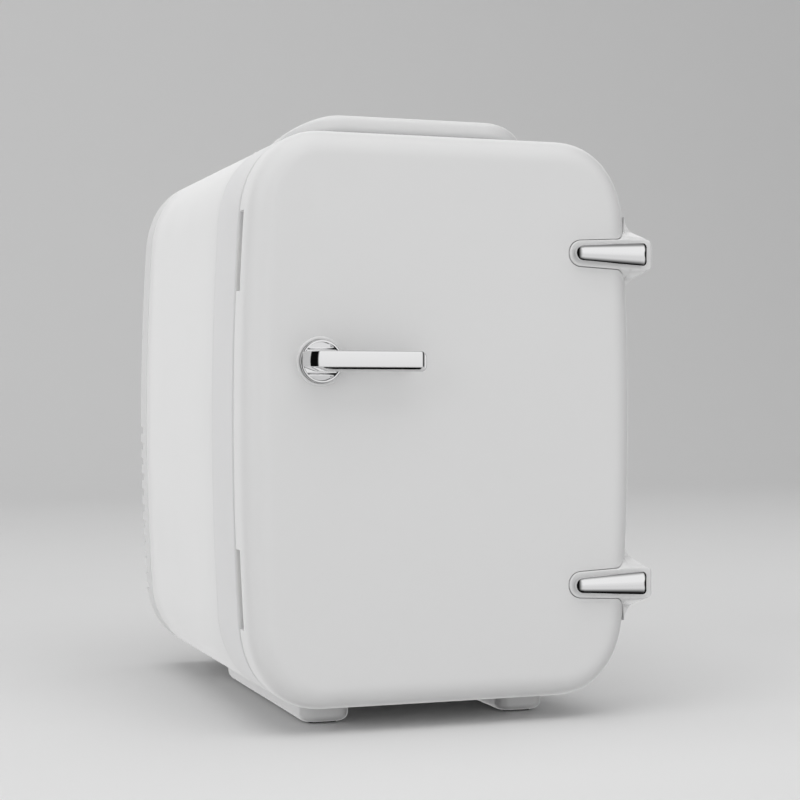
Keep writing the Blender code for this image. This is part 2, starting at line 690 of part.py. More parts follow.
def build_fan(prefix, front, back, half, bore, hub, spin_name):
    """An axial fan: a square frame with a hub on three struts, and a bladed rotor on its own axis empty."""
    z = BODY_CENTRE_Z + STACK_RISE
    middle = (front + back) / 2
    ring = [(u, v + z) for u, v in arc((0.0, 0.0), bore, 0.0, 345.0, 23)]
    square = [(u, v + z) for u, v in rounded_rectangle(half, half, half * 0.12, 3)]
    frame = outline_solid(f"{prefix}_frame", square, front, back, holes=[ring])
    strut_front = back - 2.4
    unite(frame, cylinder("hub_disc", (0, 0, z), "Y", hub * 0.9, strut_front, back))
    for turn in (90.0, 210.0, 330.0):
        strut = box("strut", (hub * 0.6, strut_front, -1.4), (bore + 2.0, back, 1.4))
        place = Matrix.Translation((0, 0, z * MM)) @ Matrix.Rotation(math.radians(turn), 4, "Y")
        strut.data.transform(place)
        unite(frame, strut)
    post_radius = hub * 0.22
    unite(frame, cylinder("stator_post", (0, 0, z), "Y", post_radius, front + 3.0, back - 1.0, 16))
    finish(frame, f"{prefix}_frame", DARK_PLASTIC)

    axis = make_empty(spin_name, (0.0, middle, z), ROOT)
    rotor = cylinder("rotor", (0, 0, z), "Y", hub, front + 1.0, strut_front - 0.8)
    blade_mid = (front + 1.0 + strut_front - 0.8) / 2
    blade_pitch = math.radians(35.0)
    chord = (strut_front - front - 2.6) / math.sin(blade_pitch)
    for i in range(7):
        blade = box("blade", (hub * 0.8, -0.6, -chord / 2), (bore - 1.6, 0.6, chord / 2))
        pitch = Matrix.Rotation(blade_pitch, 4, "X")
        turn = Matrix.Rotation(math.radians(360.0 / 7 * i), 4, "Y")
        blade.data.transform(Matrix.Translation((0, blade_mid * MM, z * MM)) @ turn @ pitch)
        unite(rotor, blade)
    cut(rotor, cylinder("rotor_bore", (0, 0, z), "Y", post_radius + GAP, front + 2.6, back + 5, 16))
    finish(rotor, f"{prefix}_rotor", DARK_PLASTIC, parent=axis)


# ---------------------------------------------------------------- electrics

def build_electrics():
    """The power board with its two tall parts, the two inlets and the mode switch."""
    z = BODY_CENTRE_Z + SOCKET_RISE
    finish(box("power_board", (-45, 196.0, z - 20), (45, 197.6, z + 28)), "power_board", BOARD_GREEN)
    finish(box("transformer", (-36, 176.0, z - 8), (-8, 195.7, z + 20)), "transformer", DARK_PLASTIC)
    finish(cylinder("filter_capacitor", (16, 0, z + 6), "Y", 7.0, 178.0, 195.7, 20), "filter_capacitor",
           DARK_PLASTIC)
    build_inlet("ac_inlet", AC_X, 14.0, 10.0, 4.8, 4.3)
    build_inlet("dc_inlet", DC_X, 8.0, 5.2, 4.2, 2.2)
    build_switch()


def socket_body(name, x, half):
    """A socket's housing, with a flange that bears on the inside of the cover."""
    z = BODY_CENTRE_Z + SOCKET_RISE
    body = box(name, (x - half, 206.0, z - SOCKET_HALF_HEIGHT),
               (x + half, SOCKET_BACK, z + SOCKET_HALF_HEIGHT))
    flange_back = COVER_BACK - WALL - GAP
    return unite(body, box("flange", (x - half - 1.4, flange_back - 1.5, z - SOCKET_HALF_HEIGHT - 2),
                           (x + half + 1.4, flange_back, z + SOCKET_HALF_HEIGHT + 2)))


def build_inlet(name, x, half, hole_half_width, hole_half_height, pin_offset):
    """A power inlet: a housing with a socket that opens to the back and two contact pins in it."""
    z = BODY_CENTRE_Z + SOCKET_RISE
    body = socket_body(name, x, half)
    cut(body, box("socket", (x - hole_half_width, 212.0, z - hole_half_height),
                  (x + hole_half_width, COVER_BACK + 5, z + hole_half_height)))
    for pin_x in (x - pin_offset, x + pin_offset):
        unite(body, cylinder("contact", (pin_x, 0, z), "Y", 1.1, 210.5, 216.5, 12))
    finish(body, name, DARK_PLASTIC)


def build_switch():
    """The three-way mode switch: a housing, and a rocker that tips on its own axis."""
    z = BODY_CENTRE_Z + SOCKET_RISE
    body = socket_body("switch_housing", SWITCH_X, 13.0)
    cut(body, box("rocker_well", (SWITCH_X - 10.5, 212.0, z - 6.2),
                  (SWITCH_X + 10.5, COVER_BACK + 5, z + 6.2)))
    finish(body, "switch_housing", DARK_PLASTIC)
    axis = make_empty("mode_switch_axis", (SWITCH_X, ROCKER_PIVOT_Y, z), ROOT)
    half = [(9.2, 224.9), (9.2, 221.6), (2.6, 216.6)]
    outline = [(SWITCH_X, 223.6)] + [(SWITCH_X + u, v) for u, v in half] \
        + [(SWITCH_X - u, v) for u, v in reversed(half)]
    finish(outline_solid("mode_rocker", outline, z - 5.8, z + 5.8, plane="XY"), "mode_rocker", DARK_PLASTIC,
           parent=axis)


# ---------------------------------------------------------------- feet

def build_feet():
    """Two long feet under the body, each with a rubber pad."""
    top = BODY_CENTRE_Z - BODY_HALF_HEIGHT - GAP
    bottom = BODY_CENTRE_Z + FOOT_BOTTOM
    half_width = (FOOT_OUTER - FOOT_INNER) / 2
    half_length = (FOOT_BACK - FOOT_FRONT) / 2
    middle_y = (FOOT_FRONT + FOOT_BACK) / 2
    for side, label in ((-1.0, "left"), (1.0, "right")):
        x = side * (FOOT_OUTER + FOOT_INNER) / 2
        plan = [(u + x, v + middle_y) for u, v in rounded_rectangle(half_width, half_length, FOOT_CORNER, 4)]
        foot = outline_solid(f"foot_{label}", plan, bottom, top, plane="XY")
        finish(round_rim(foot, bottom, FOOT_EDGE, 4, axis="Z"), f"foot_{label}", GLOSS_WHITE)
        pad_plan = rounded_rectangle(half_width - PAD_INSET, half_length - PAD_INSET,
                                     FOOT_CORNER - PAD_INSET, 3)
        pad = outline_solid(f"pad_{label}", [(u + x, v + middle_y) for u, v in pad_plan], 0.0, bottom - GAP,
                            plane="XY")
        finish(pad, f"foot_pad_{label}", RUBBER)


# ---------------------------------------------------------------- carry handle

def cup_span():
    """The sideways places of a cup's inner and outer faces."""
    half = HANDLE_ARM_WIDTH / 2 + CUP_CLEARANCE + CUP_WALL
    return HANDLE_ARM_X - half, HANDLE_ARM_X + half


def cup_pockets(bottom_rise):
    """The two pockets that the handle's cups sit in, down to a rise."""
    inner, outer = cup_span()
    reach = CUP_HALF_LENGTH + CUP_WALL + GAP
    pockets = []
    for side in (-1.0, 1.0):
        ends = sorted((side * (inner - GAP), side * (outer + GAP)))
        pockets.append(box("cup_pocket", (ends[0], HANDLE_PIVOT_Y - reach, BODY_CENTRE_Z + bottom_rise),
                           (ends[1], HANDLE_PIVOT_Y + reach, BODY_CENTRE_Z + BODY_HALF_HEIGHT + 10)))
    return pockets


def handle_station(x, y, turn, climb, widen):
    """One station of the handle: its section's centre, turn, width and height."""
    low = HANDLE_ARM_LOW + (HANDLE_GRIP_LOW - HANDLE_ARM_LOW) * climb
    top = HANDLE_ARM_TOP + (HANDLE_GRIP_TOP - HANDLE_ARM_TOP) * climb
    width = HANDLE_ARM_WIDTH + (HANDLE_GRIP_WIDTH - HANDLE_ARM_WIDTH) * widen
    return (x, y, BODY_CENTRE_Z + (low + top) / 2), turn, width, top - low


def handle_stations():
    """The stations of the handle's section, from one pivot to the other.

    Each arm runs level from its pivot and widens, a quarter turn lifts it into the grip, and the grip is
    straight.
    """
    corner_x = HANDLE_ARM_X - HANDLE_CORNER
    corner_y = HANDLE_GRIP_Y + HANDLE_CORNER
    climb_power = 1.5
    steps = 7
    half = [handle_station(HANDLE_ARM_X, y, 0.0, 0.0, widen)
            for y, widen in ((HANDLE_PIVOT_Y, 0.0), (92.0, 0.0), (84.0, 0.3), (72.0, 0.85))]
    for i in range(steps + 1):
        turn = math.radians(90.0 * i / steps)
        half.append(handle_station(corner_x + HANDLE_CORNER * math.cos(turn),
                                   corner_y - HANDLE_CORNER * math.sin(turn),
                                   turn, math.sin(turn) ** climb_power, 1.0))
    half.append(handle_station(corner_x / 2, HANDLE_GRIP_Y, math.radians(90.0), 1.0, 1.0))
    middle = [handle_station(0.0, HANDLE_GRIP_Y, math.radians(90.0), 1.0, 1.0)]
    mirrored = [((-x, y, z), math.pi - turn, width, height)
                for (x, y, z), turn, width, height in reversed(half)]
    return half + middle + mirrored


def handle_loft():
    """The handle's body: one rounded section carried along the stations, closed at both ends."""
    sides = 12
    power = 0.62
    solid = bmesh.new()
    rings = []
    for centre, turn, width, height in handle_stations():
        across = Vector((math.cos(turn), -math.sin(turn), 0.0))
        ring = []
        for i in range(sides):
            angle = math.radians(360.0 * (i + 0.5) / sides)
            u = math.copysign(abs(math.cos(angle)) ** power, math.cos(angle)) * width / 2
            v = math.copysign(abs(math.sin(angle)) ** power, math.sin(angle)) * height / 2
            ring.append(solid.verts.new((Vector(centre) + across * u + Vector((0, 0, v))) * MM))
        rings.append(ring)
    for first, second in zip(rings, rings[1:]):
        for i in range(sides):
            j = (i + 1) % sides
            solid.faces.new((first[i], first[j], second[j], second[i]))
    solid.faces.new(list(reversed(rings[0])))
    solid.faces.new(rings[-1])
    bmesh.ops.recalc_face_normals(solid, faces=solid.faces)
    mesh = bpy.data.meshes.new("carry_handle")
    solid.to_mesh(mesh)
    solid.free()
    return make_object("carry_handle", mesh)


def pivot_cup(side):
    """A cup sunk in the casing's top, with an ear on each side and the pin that the handle's eye turns on."""
    z = BODY_CENTRE_Z + HANDLE_PIVOT_RISE
    inner, outer = cup_span()
    reach = CUP_HALF_LENGTH + CUP_WALL
    ends = sorted((side * inner, side * outer))
    floor = BODY_CENTRE_Z + CUP_BOTTOM
    cup = box("cup", (ends[0], HANDLE_PIVOT_Y - reach, floor),
              (ends[1], HANDLE_PIVOT_Y + reach, BODY_CENTRE_Z + CUP_TOP))
    place = (0, HANDLE_PIVOT_Y, z)
    unite(cup, cylinder("ears", place, "X", EAR_RADIUS, ends[0] + 0.1, ends[1] - 0.1, 24))
    cut(cup, box("cup_hollow", (ends[0] + CUP_WALL, HANDLE_PIVOT_Y - CUP_HALF_LENGTH, floor + CUP_WALL),
                 (ends[1] - CUP_WALL, HANDLE_PIVOT_Y + CUP_HALF_LENGTH, z + 10)))
    return unite(cup, cylinder("pivot_pin", place, "X", HANDLE_PIN_RADIUS, ends[0] + 0.4, ends[1] - 0.4, 20))


def build_carry_handle():
    """The folding handle and the two cups that it turns in."""
    z = BODY_CENTRE_Z + HANDLE_PIVOT_RISE
    axis = make_empty("carry_handle_axis", (0.0, HANDLE_PIVOT_Y, z), ROOT)
    handle = handle_loft()
    place = (0, HANDLE_PIVOT_Y, z)
    inner = HANDLE_ARM_X - HANDLE_ARM_WIDTH / 2
    outer = HANDLE_ARM_X + HANDLE_ARM_WIDTH / 2
    for side in (-1.0, 1.0):
        eye = sorted((side * inner, side * outer))
        unite(handle, cylinder("eye", place, "X", HANDLE_EYE_RADIUS, eye[0], eye[1], 24))
    for side in (-1.0, 1.0):
        bore = sorted((side * (inner - 4), side * (outer + 4)))
        cut(handle, cylinder("eye_bore", place, "X", HANDLE_PIN_RADIUS + GAP, bore[0], bore[1], 20))
    finish(handle, "carry_handle", GLOSS_WHITE, parent=axis)
    for side, label in ((-1.0, "left"), (1.0, "right")):
        finish(pivot_cup(side), f"handle_pivot_{label}", GLOSS_WHITE)


# ---------------------------------------------------------------- door

def tongue_outline(grow=0.0):
    """The hinge leaf's front plate: round on the left, a little taller and square-rounded on the right."""
    left = arc((LEAF_LEFT + LEAF_HALF_LEFT, 0.0), LEAF_HALF_LEFT + grow, 90.0, 270.0, 10)
    corner = LEAF_CORNER + grow
    u = LEAF_RIGHT - LEAF_CORNER
    v = LEAF_HALF_RIGHT - LEAF_CORNER
    right = arc((u, -v), corner, -90.0, 0.0, 4) + arc((u, v), corner, 0.0, 90.0, 4)
    return left + right


def flare_outline():
    """The hinge leaf's web beside the door's edge: tall at the door, falling in a hollow curve to the tip."""
    upper = hermite((FLARE_LEFT + 1.6, FLARE_HALF), (LEAF_RIGHT - 1.0, LEAF_HALF_RIGHT - 1.0),
                    (1.5, -14.0), (9.0, -4.5), 6)
    lower = [(u, -v) for u, v in reversed(upper)]
    return [(FLARE_LEFT, FLARE_HALF)] + upper + lower + [(FLARE_LEFT, -FLARE_HALF)]


def build_door_panel(door):
    """The door's outer panel, with seats for both hinge leaves and a notch at each hinge place."""
    panel = round_rim(body_slab("door_panel", 0.0, DOOR_BACK), 0.0, DOOR_FILLET, 5)
    cut(panel, body_slab("door_hollow", DOOR_FRONT_WALL, DOOR_BACK + 10, DOOR_WALL))
    for rise in (HINGE_RISE, -HINGE_RISE):
        seat = at_rise(tongue_outline(GAP), rise)
        cut(panel, outline_solid("leaf_seat", seat, -10.0, LEAF_DEPTH + GAP))
        low = BODY_CENTRE_Z + (NOTCH_LOW if rise > 0 else -NOTCH_HIGH)
        high = low + NOTCH_HIGH - NOTCH_LOW
        for side in (-1.0, 1.0):
            ends = sorted((side * NOTCH_REACH, side * (BODY_HALF_WIDTH + 10)))
            cut(panel, box("edge_notch", (ends[0], NOTCH_FRONT, low), (ends[1], DOOR_BACK + 10, high)))
    bore_z = BODY_CENTRE_Z + LEVER_RISE
    cut(panel, cylinder("panel_bore", (LEVER_X, 0, bore_z), "Y", SPINDLE_RADIUS + 0.4, -5,
                        DOOR_FRONT_WALL + 5))
    finish(panel, "door_panel", GLOSS_WHITE, parent=door)


def build_door_inside(door):
    """The door's foam, its inner liner with a shallow plug, the gasket, the magnet and the bin."""
    bore_z = BODY_CENTRE_Z + LEVER_RISE
    bore = SPINDLE_RADIUS + 0.4
    inner_w = PLUG_HALF_WIDTH - PLUG_WALL
    inner_h = PLUG_HALF_HEIGHT - PLUG_WALL
    inner_r = PLUG_CORNER - PLUG_WALL
    magnet_low = (-80.0, DOOR_FOAM_BACK - 3.0, BODY_CENTRE_Z - 30.0)
    magnet_high = (-68.0, DOOR_FOAM_BACK - GAP, BODY_CENTRE_Z - 10.0)

    foam = body_slab("door_insulation", DOOR_FRONT_WALL + GAP, DOOR_FOAM_BACK, DOOR_WALL + 0.4)
    unite(foam, cavity_slab("foam_plug", DOOR_FOAM_BACK - 2, PLUG_BACK - PLUG_WALL - GAP, inner_w - GAP,
                            inner_h - GAP, inner_r - GAP))
    cut(foam, cylinder("foam_bore", (LEVER_X, 0, bore_z), "Y", bore, -5, PLUG_BACK + 5))
    cut(foam, box("magnet_pocket", [v - GAP for v in magnet_low], [magnet_high[0] + GAP, DOOR_FOAM_BACK + 5,
                                                                   magnet_high[2] + GAP]))
    finish(foam, "door_insulation", FOAM, parent=door)
    finish(box("door_magnet", magnet_low, magnet_high), "door_magnet", MAGNET, parent=door)

    liner = body_slab("door_liner", DOOR_LINER_FRONT, DOOR_BACK, DOOR_WALL + GAP)
    plug = cavity_slab("plug", DOOR_BACK - 1, PLUG_BACK, PLUG_HALF_WIDTH, PLUG_HALF_HEIGHT, PLUG_CORNER)
    unite(liner, round_rim(plug, PLUG_BACK, 3.0, 2))
    cut(liner, cavity_slab("plug_hollow", DOOR_LINER_FRONT - 5, PLUG_BACK - PLUG_WALL, inner_w, inner_h,
                           inner_r))
    cut(liner, cylinder("liner_bore", (LEVER_X, 0, bore_z), "Y", bore, PLUG_BACK - 6, PLUG_BACK + 5))
    finish(liner, "door_liner", INNER_WHITE, parent=door)

    gasket = body_slab("door_gasket", DOOR_BACK + GAP, FRAME_FRONT - GAP, GASKET_INSET)
    cut(gasket, cavity_slab("gasket_hole", DOOR_BACK - 5, FRAME_FRONT + 5, GASKET_HOLE_HALF_WIDTH,
                            GASKET_HOLE_HALF_HEIGHT, GASKET_HOLE_CORNER))
    finish(gasket, "door_gasket", GREY_RUBBER, parent=door)

    low = BODY_CENTRE_Z + BIN_LOW
    high = BODY_CENTRE_Z + BIN_HIGH
    tray = box("door_bin", (-BIN_HALF_WIDTH, PLUG_BACK + GAP, low), (BIN_HALF_WIDTH, BIN_BACK, high))
    cut(tray, box("bin_hollow", (-BIN_HALF_WIDTH + BIN_WALL, PLUG_BACK + GAP + BIN_WALL, low + BIN_WALL),
                  (BIN_HALF_WIDTH - BIN_WALL, BIN_BACK - BIN_WALL, high + 10)))
    cut(tray, box("bin_lip", (-BIN_HALF_WIDTH - 5, PLUG_BACK + 8, high - 12),
                  (BIN_HALF_WIDTH + 5, BIN_BACK + 5, high + 5)))
    finish(tray, "door_bin", INNER_WHITE, parent=door)


def build_hinge(label, rise, door):
    """One hinge: the door's leaf and its polished bar, and the cabinet's bracket with its pin."""
    z = BODY_CENTRE_Z + rise
    tongue = round_rim(outline_solid("tongue", at_rise(tongue_outline(), rise), -LEAF_PROUD, LEAF_DEPTH),
                       -LEAF_PROUD, 0.6, 2)
    web = outline_solid(f"web_{label}", at_rise(flare_outline(), rise), LEAF_DEPTH - 0.6, FLARE_BACK)
    filler = box("filler", (80.0, LEAF_DEPTH - 0.6, z - LEAF_HALF_LEFT), (FLARE_LEFT + 2, FLARE_BACK,
                                                                          z + LEAF_HALF_LEFT))
    root = box("knuckle_root", (HINGE_X - KNUCKLE_RADIUS, FLARE_BACK - 2, z - KNUCKLE_HALF),
               (HINGE_X + KNUCKLE_RADIUS, HINGE_Y, z + KNUCKLE_HALF))
    knuckle = cylinder("knuckle", (HINGE_X, HINGE_Y, 0), "Z", KNUCKLE_RADIUS, z - KNUCKLE_HALF,
                       z + KNUCKLE_HALF)
    envelope = round_rim(body_slab("door_envelope", -GAP, DOOR_BACK + 10, -GAP), -GAP, DOOR_FILLET + GAP, 5)
    unite(web, filler, root, knuckle)
    cut(web, envelope)
    unite(web, tongue)
    cut(web, cylinder("knuckle_bore", (HINGE_X, HINGE_Y, 0), "Z", PIN_RADIUS + GAP, z - 30, z + 30, 16))
    finish(web, f"hinge_leaf_{label}", GLOSS_WHITE, parent=door)

    left = arc((TRIM_LEFT + TRIM_HALF_LEFT, 0.0), TRIM_HALF_LEFT, 90.0, 270.0, 8)
    u = TRIM_RIGHT - 2.4
    v = TRIM_HALF_RIGHT - 2.4
    right = arc((u, -v), 2.4, -90.0, 0.0, 3) + arc((u, v), 2.4, 0.0, 90.0, 3)
    trim = outline_solid(f"trim_{label}", at_rise(left + right, rise), -TRIM_PROUD, -LEAF_PROUD - GAP)
    finish(round_rim(trim, -TRIM_PROUD, 2.4, 3), f"hinge_trim_{label}", CHROME, parent=door)

    bracket = box(f"bracket_{label}", (80.0, HINGE_Y, z - LUG_HALF),
                  (BRACKET_RIGHT, BRACKET_BACK, z + LUG_HALF))
    unite(bracket, cylinder("lug", (HINGE_X, HINGE_Y, 0), "Z", LUG_RADIUS, z - LUG_HALF, z + LUG_HALF))
    gap_half = KNUCKLE_HALF + 0.4
    cut(bracket, body_slab("bracket_seat", -5.0, FRAME_BACK, -0.5))
    cut(bracket, box("knuckle_gap", (70.0, HINGE_Y - 10, z - gap_half),
                     (HINGE_X + 10, HINGE_Y + 6, z + gap_half)))
    cut(bracket, cylinder("lug_bore", (HINGE_X, HINGE_Y, 0), "Z", PIN_RADIUS + GAP, z - 30, z + 30, 16))
    finish(bracket, f"hinge_bracket_{label}", SATIN_WHITE)
    finish(cylinder(f"pin_{label}", (HINGE_X, HINGE_Y, 0), "Z", PIN_RADIUS, z - LUG_HALF, z + LUG_HALF, 16),
           f"hinge_pin_{label}", STEEL)


def build_latch(door):
    """The rosette on the door, and the lever, spindle, cam and screw that turn together through it."""
    z = BODY_CENTRE_Z + LEVER_RISE
    ring = [(4.7, 1.8), (7.2, 1.8), (7.6, 3.0), (8.6, 3.0), (ROSETTE_RADIUS, 2.5), (ROSETTE_RADIUS, GAP),
            (4.7, GAP)]
    rosette = turned("rosette", ring, (LEVER_X, 0.0, z), closed=True)
    finish(rosette, "handle_rosette", CHROME, parent=door)

    lever_axis = make_empty("lever_axis", (LEVER_X, 0.0, z), door)
    elbow = arc((-54.0, LEVER_FOOT), -54.0 - LEVER_LEFT, 180.0, 270.0, 6, radius_v=LEVER_FOOT - LEVER_FRONT)
    tip_radius = (LEVER_BAR_BACK - LEVER_FRONT) / 2
    tip = arc((LEVER_RIGHT - tip_radius, LEVER_FRONT + tip_radius), tip_radius, -90.0, 90.0, 6)
    throat = [(-47.0, LEVER_BAR_BACK), (-49.4, LEVER_BAR_BACK + 1.2), (-50.6, LEVER_FOOT)]
    lever = outline_solid("lever", elbow + tip + throat, z - LEVER_HALF_HEIGHT, z + LEVER_HALF_HEIGHT,
                          plane="XY")
    for station in (z - LEVER_HALF_HEIGHT, z + LEVER_HALF_HEIGHT):
        round_rim(lever, station, 1.5, 3, axis="Z")
    unite(lever, cylinder("hub", (LEVER_X, 0, z), "Y", HUB_RADIUS, LEVER_FOOT - 2, -0.6))
    cut(lever, cylinder("hub_bore", (LEVER_X, 0, z), "Y", SPINDLE_RADIUS + GAP, SPINDLE_FRONT - GAP, 5))
    finish(lever, "lever_handle", CHROME, parent=lever_axis)

    thread = 1.6
    shaft = [(0.0, -SPINDLE_FRONT), (SPINDLE_RADIUS, -SPINDLE_FRONT), (SPINDLE_RADIUS, -SPINDLE_BACK),
             (thread, -SPINDLE_BACK), (thread, -SPINDLE_BACK + 8.0), (0.0, -SPINDLE_BACK + 8.0)]
    finish(turned("spindle", shaft, (LEVER_X, 0.0, z), steps=20), "lever_spindle", STEEL, parent=lever_axis)

    eye = arc((LEVER_X, z), 6.0, -42.0, 222.0, 14)
    finger = arc((LEVER_X, z - CAM_REACH + CAM_HALF_WIDTH), CAM_HALF_WIDTH, 180.0, 360.0, 6)
    hole = arc((LEVER_X, z), SPINDLE_RADIUS + GAP, 0.0, 342.0, 19)
    finish(outline_solid("cam", eye + finger, CAM_FRONT, CAM_BACK, holes=[hole]), "cam_tongue", STEEL,
           parent=lever_axis)
    screw = [(0.0, 2.0), (3.4, 2.0), (4.2, 1.2), (4.2, 0.0), (1.3, 0.0), (1.3, -6.8), (0.0, -7.2)]
    finish(turned("cam_screw", screw, (LEVER_X, CAM_BACK + GAP, z), axis="Y", steps=16), "cam_screw", STEEL,
           parent=lever_axis)


def build_door():
    """The whole door on its hinge axis."""
    door = make_empty("door_axis", (HINGE_X, HINGE_Y, BODY_CENTRE_Z), ROOT)
    build_door_panel(door)
    build_door_inside(door)
    build_hinge("upper", HINGE_RISE, door)
    build_hinge("lower", -HINGE_RISE, door)
    build_latch(door)


def build_cabinet():
    """Everything that stays with the cabinet."""
    build_front_frame()
    build_casing()
    build_rear_cover()
    build_insulation()
    build_liner()
    build_shelf()
    build_latch_plates()
    build_cooling_stack()
    build_fan("inner_fan", INNER_FAN_FRONT, INNER_FAN_BACK, 25.0, 23.0, 8.0, "inner_fan_axis")
    build_fan("rear_fan", FAN_FRONT, FAN_BACK, 40.0, 37.5, 13.5, "rear_fan_axis")
    build_electrics()
    build_feet()
    build_carry_handle()


clear_scene()
PARTS = make_collection("mini_fridge")
CUTTERS = make_collection("cutters")
CENTRE_X = (LEAF_RIGHT - BODY_HALF_WIDTH) / 2
CENTRE_Y = (LEVER_FRONT + COVER_BACK) / 2
ROOT = make_empty("fridge_root", (0.0, 0.0, 0.0))
ROOT.location = (-CENTRE_X * MM, -CENTRE_Y * MM, 0.0)
build_cabinet()
build_door()
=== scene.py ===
"""Mini fridge, the visual model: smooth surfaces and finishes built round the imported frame.

Every class below is one sub-assembly. Its fields are its sizes, in metres, and its methods build its meshes and
dress them. Depths are measured backwards from the door's front face, rises upwards from the middle of the body,
and sideways places from the door's middle, and `Places` turns them into the frame's own axes.
"""
from __future__ import annotations

import logging
import math
from dataclasses import dataclass, field
from enum import Enum

import bmesh
import bpy
import numpy as np
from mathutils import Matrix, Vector


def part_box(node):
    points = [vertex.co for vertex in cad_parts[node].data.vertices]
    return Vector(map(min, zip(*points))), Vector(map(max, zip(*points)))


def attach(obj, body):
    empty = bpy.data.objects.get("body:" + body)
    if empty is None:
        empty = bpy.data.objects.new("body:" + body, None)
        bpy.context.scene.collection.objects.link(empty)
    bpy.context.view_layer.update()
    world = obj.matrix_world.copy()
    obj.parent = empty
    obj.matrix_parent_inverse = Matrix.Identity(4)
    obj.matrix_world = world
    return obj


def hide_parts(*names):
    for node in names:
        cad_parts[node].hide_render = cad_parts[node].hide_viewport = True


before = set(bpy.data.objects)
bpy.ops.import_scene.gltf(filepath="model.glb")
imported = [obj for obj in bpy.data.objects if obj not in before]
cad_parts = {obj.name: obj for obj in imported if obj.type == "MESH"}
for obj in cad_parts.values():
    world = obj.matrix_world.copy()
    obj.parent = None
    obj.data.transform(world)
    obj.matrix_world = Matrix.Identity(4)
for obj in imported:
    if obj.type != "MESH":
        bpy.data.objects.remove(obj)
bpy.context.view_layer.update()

LOG = logging.getLogger("mini_fridge")
MM = 0.001
Array = np.ndarray


# ================================================================ places and outlines

@dataclass(frozen=True)
class Places:
    """Where the fridge's own axes lie in the frame, and its main depths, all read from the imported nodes."""

    mid_x: float
    front_y: float
    mid_z: float
    half_width: float
    half_height: float

    @classmethod
    def from_frame(cls) -> "Places":
        """Read the door panel's box.

        Returns:
            The places that every sub-assembly measures from.
        """
        low, high = (Vector(corner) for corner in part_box("door_panel"))
        middle = (low + high) / 2
        size = high - low
        return cls(middle.x, low.y, middle.z, size.x / 2, size.z / 2)

    def depth_of(self, node: str) -> tuple[float, float]:
        """The depths at which a node starts and ends."""
        low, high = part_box(node)
        return low[1] - self.front_y, high[1] - self.front_y

    def place(self, local: Array) -> Array:
        """Turn (sideways, depth, rise) points into the frame's axes.

        Args:
            local: any array whose last axis holds sideways, depth and rise.

        Returns:
            The same points in the frame.
        """
        return np.asarray(local, dtype=float) + np.array([self.mid_x, self.front_y, self.mid_z])

    def vector(self, sideways: float, depth: float, rise: float) -> Vector:
        """One placed point as a Vector."""
        return Vector((self.mid_x + sideways, self.front_y + depth, self.mid_z + rise))


AT = Places.from_frame()


def smooth_step(value: Array, low: float, high: float) -> Array:
    """0 below low, 1 above high, and 3t^2 - 2t^3 between them."""
    t = np.clip((np.asarray(value, dtype=float) - low) / (high - low), 0.0, 1.0)
    return t * t * (3.0 - 2.0 * t)


def mirrored_quarters(quarter: Array) -> Array:
    """Mirror a quarter outline into a whole one.

    Args:
        quarter: (k, 2) points from the +u axis round to just before the +v axis point, both axis points included.

    Returns:
        The closed outline, counter-clockwise, without repeated points.
    """
    flip_u = quarter[::-1] * np.array([-1.0, 1.0])
    flip_both = -quarter
    flip_v = quarter[::-1] * np.array([1.0, -1.0])
    return np.concatenate([quarter, flip_u[1:], flip_both[1:], flip_v[1:-1]])


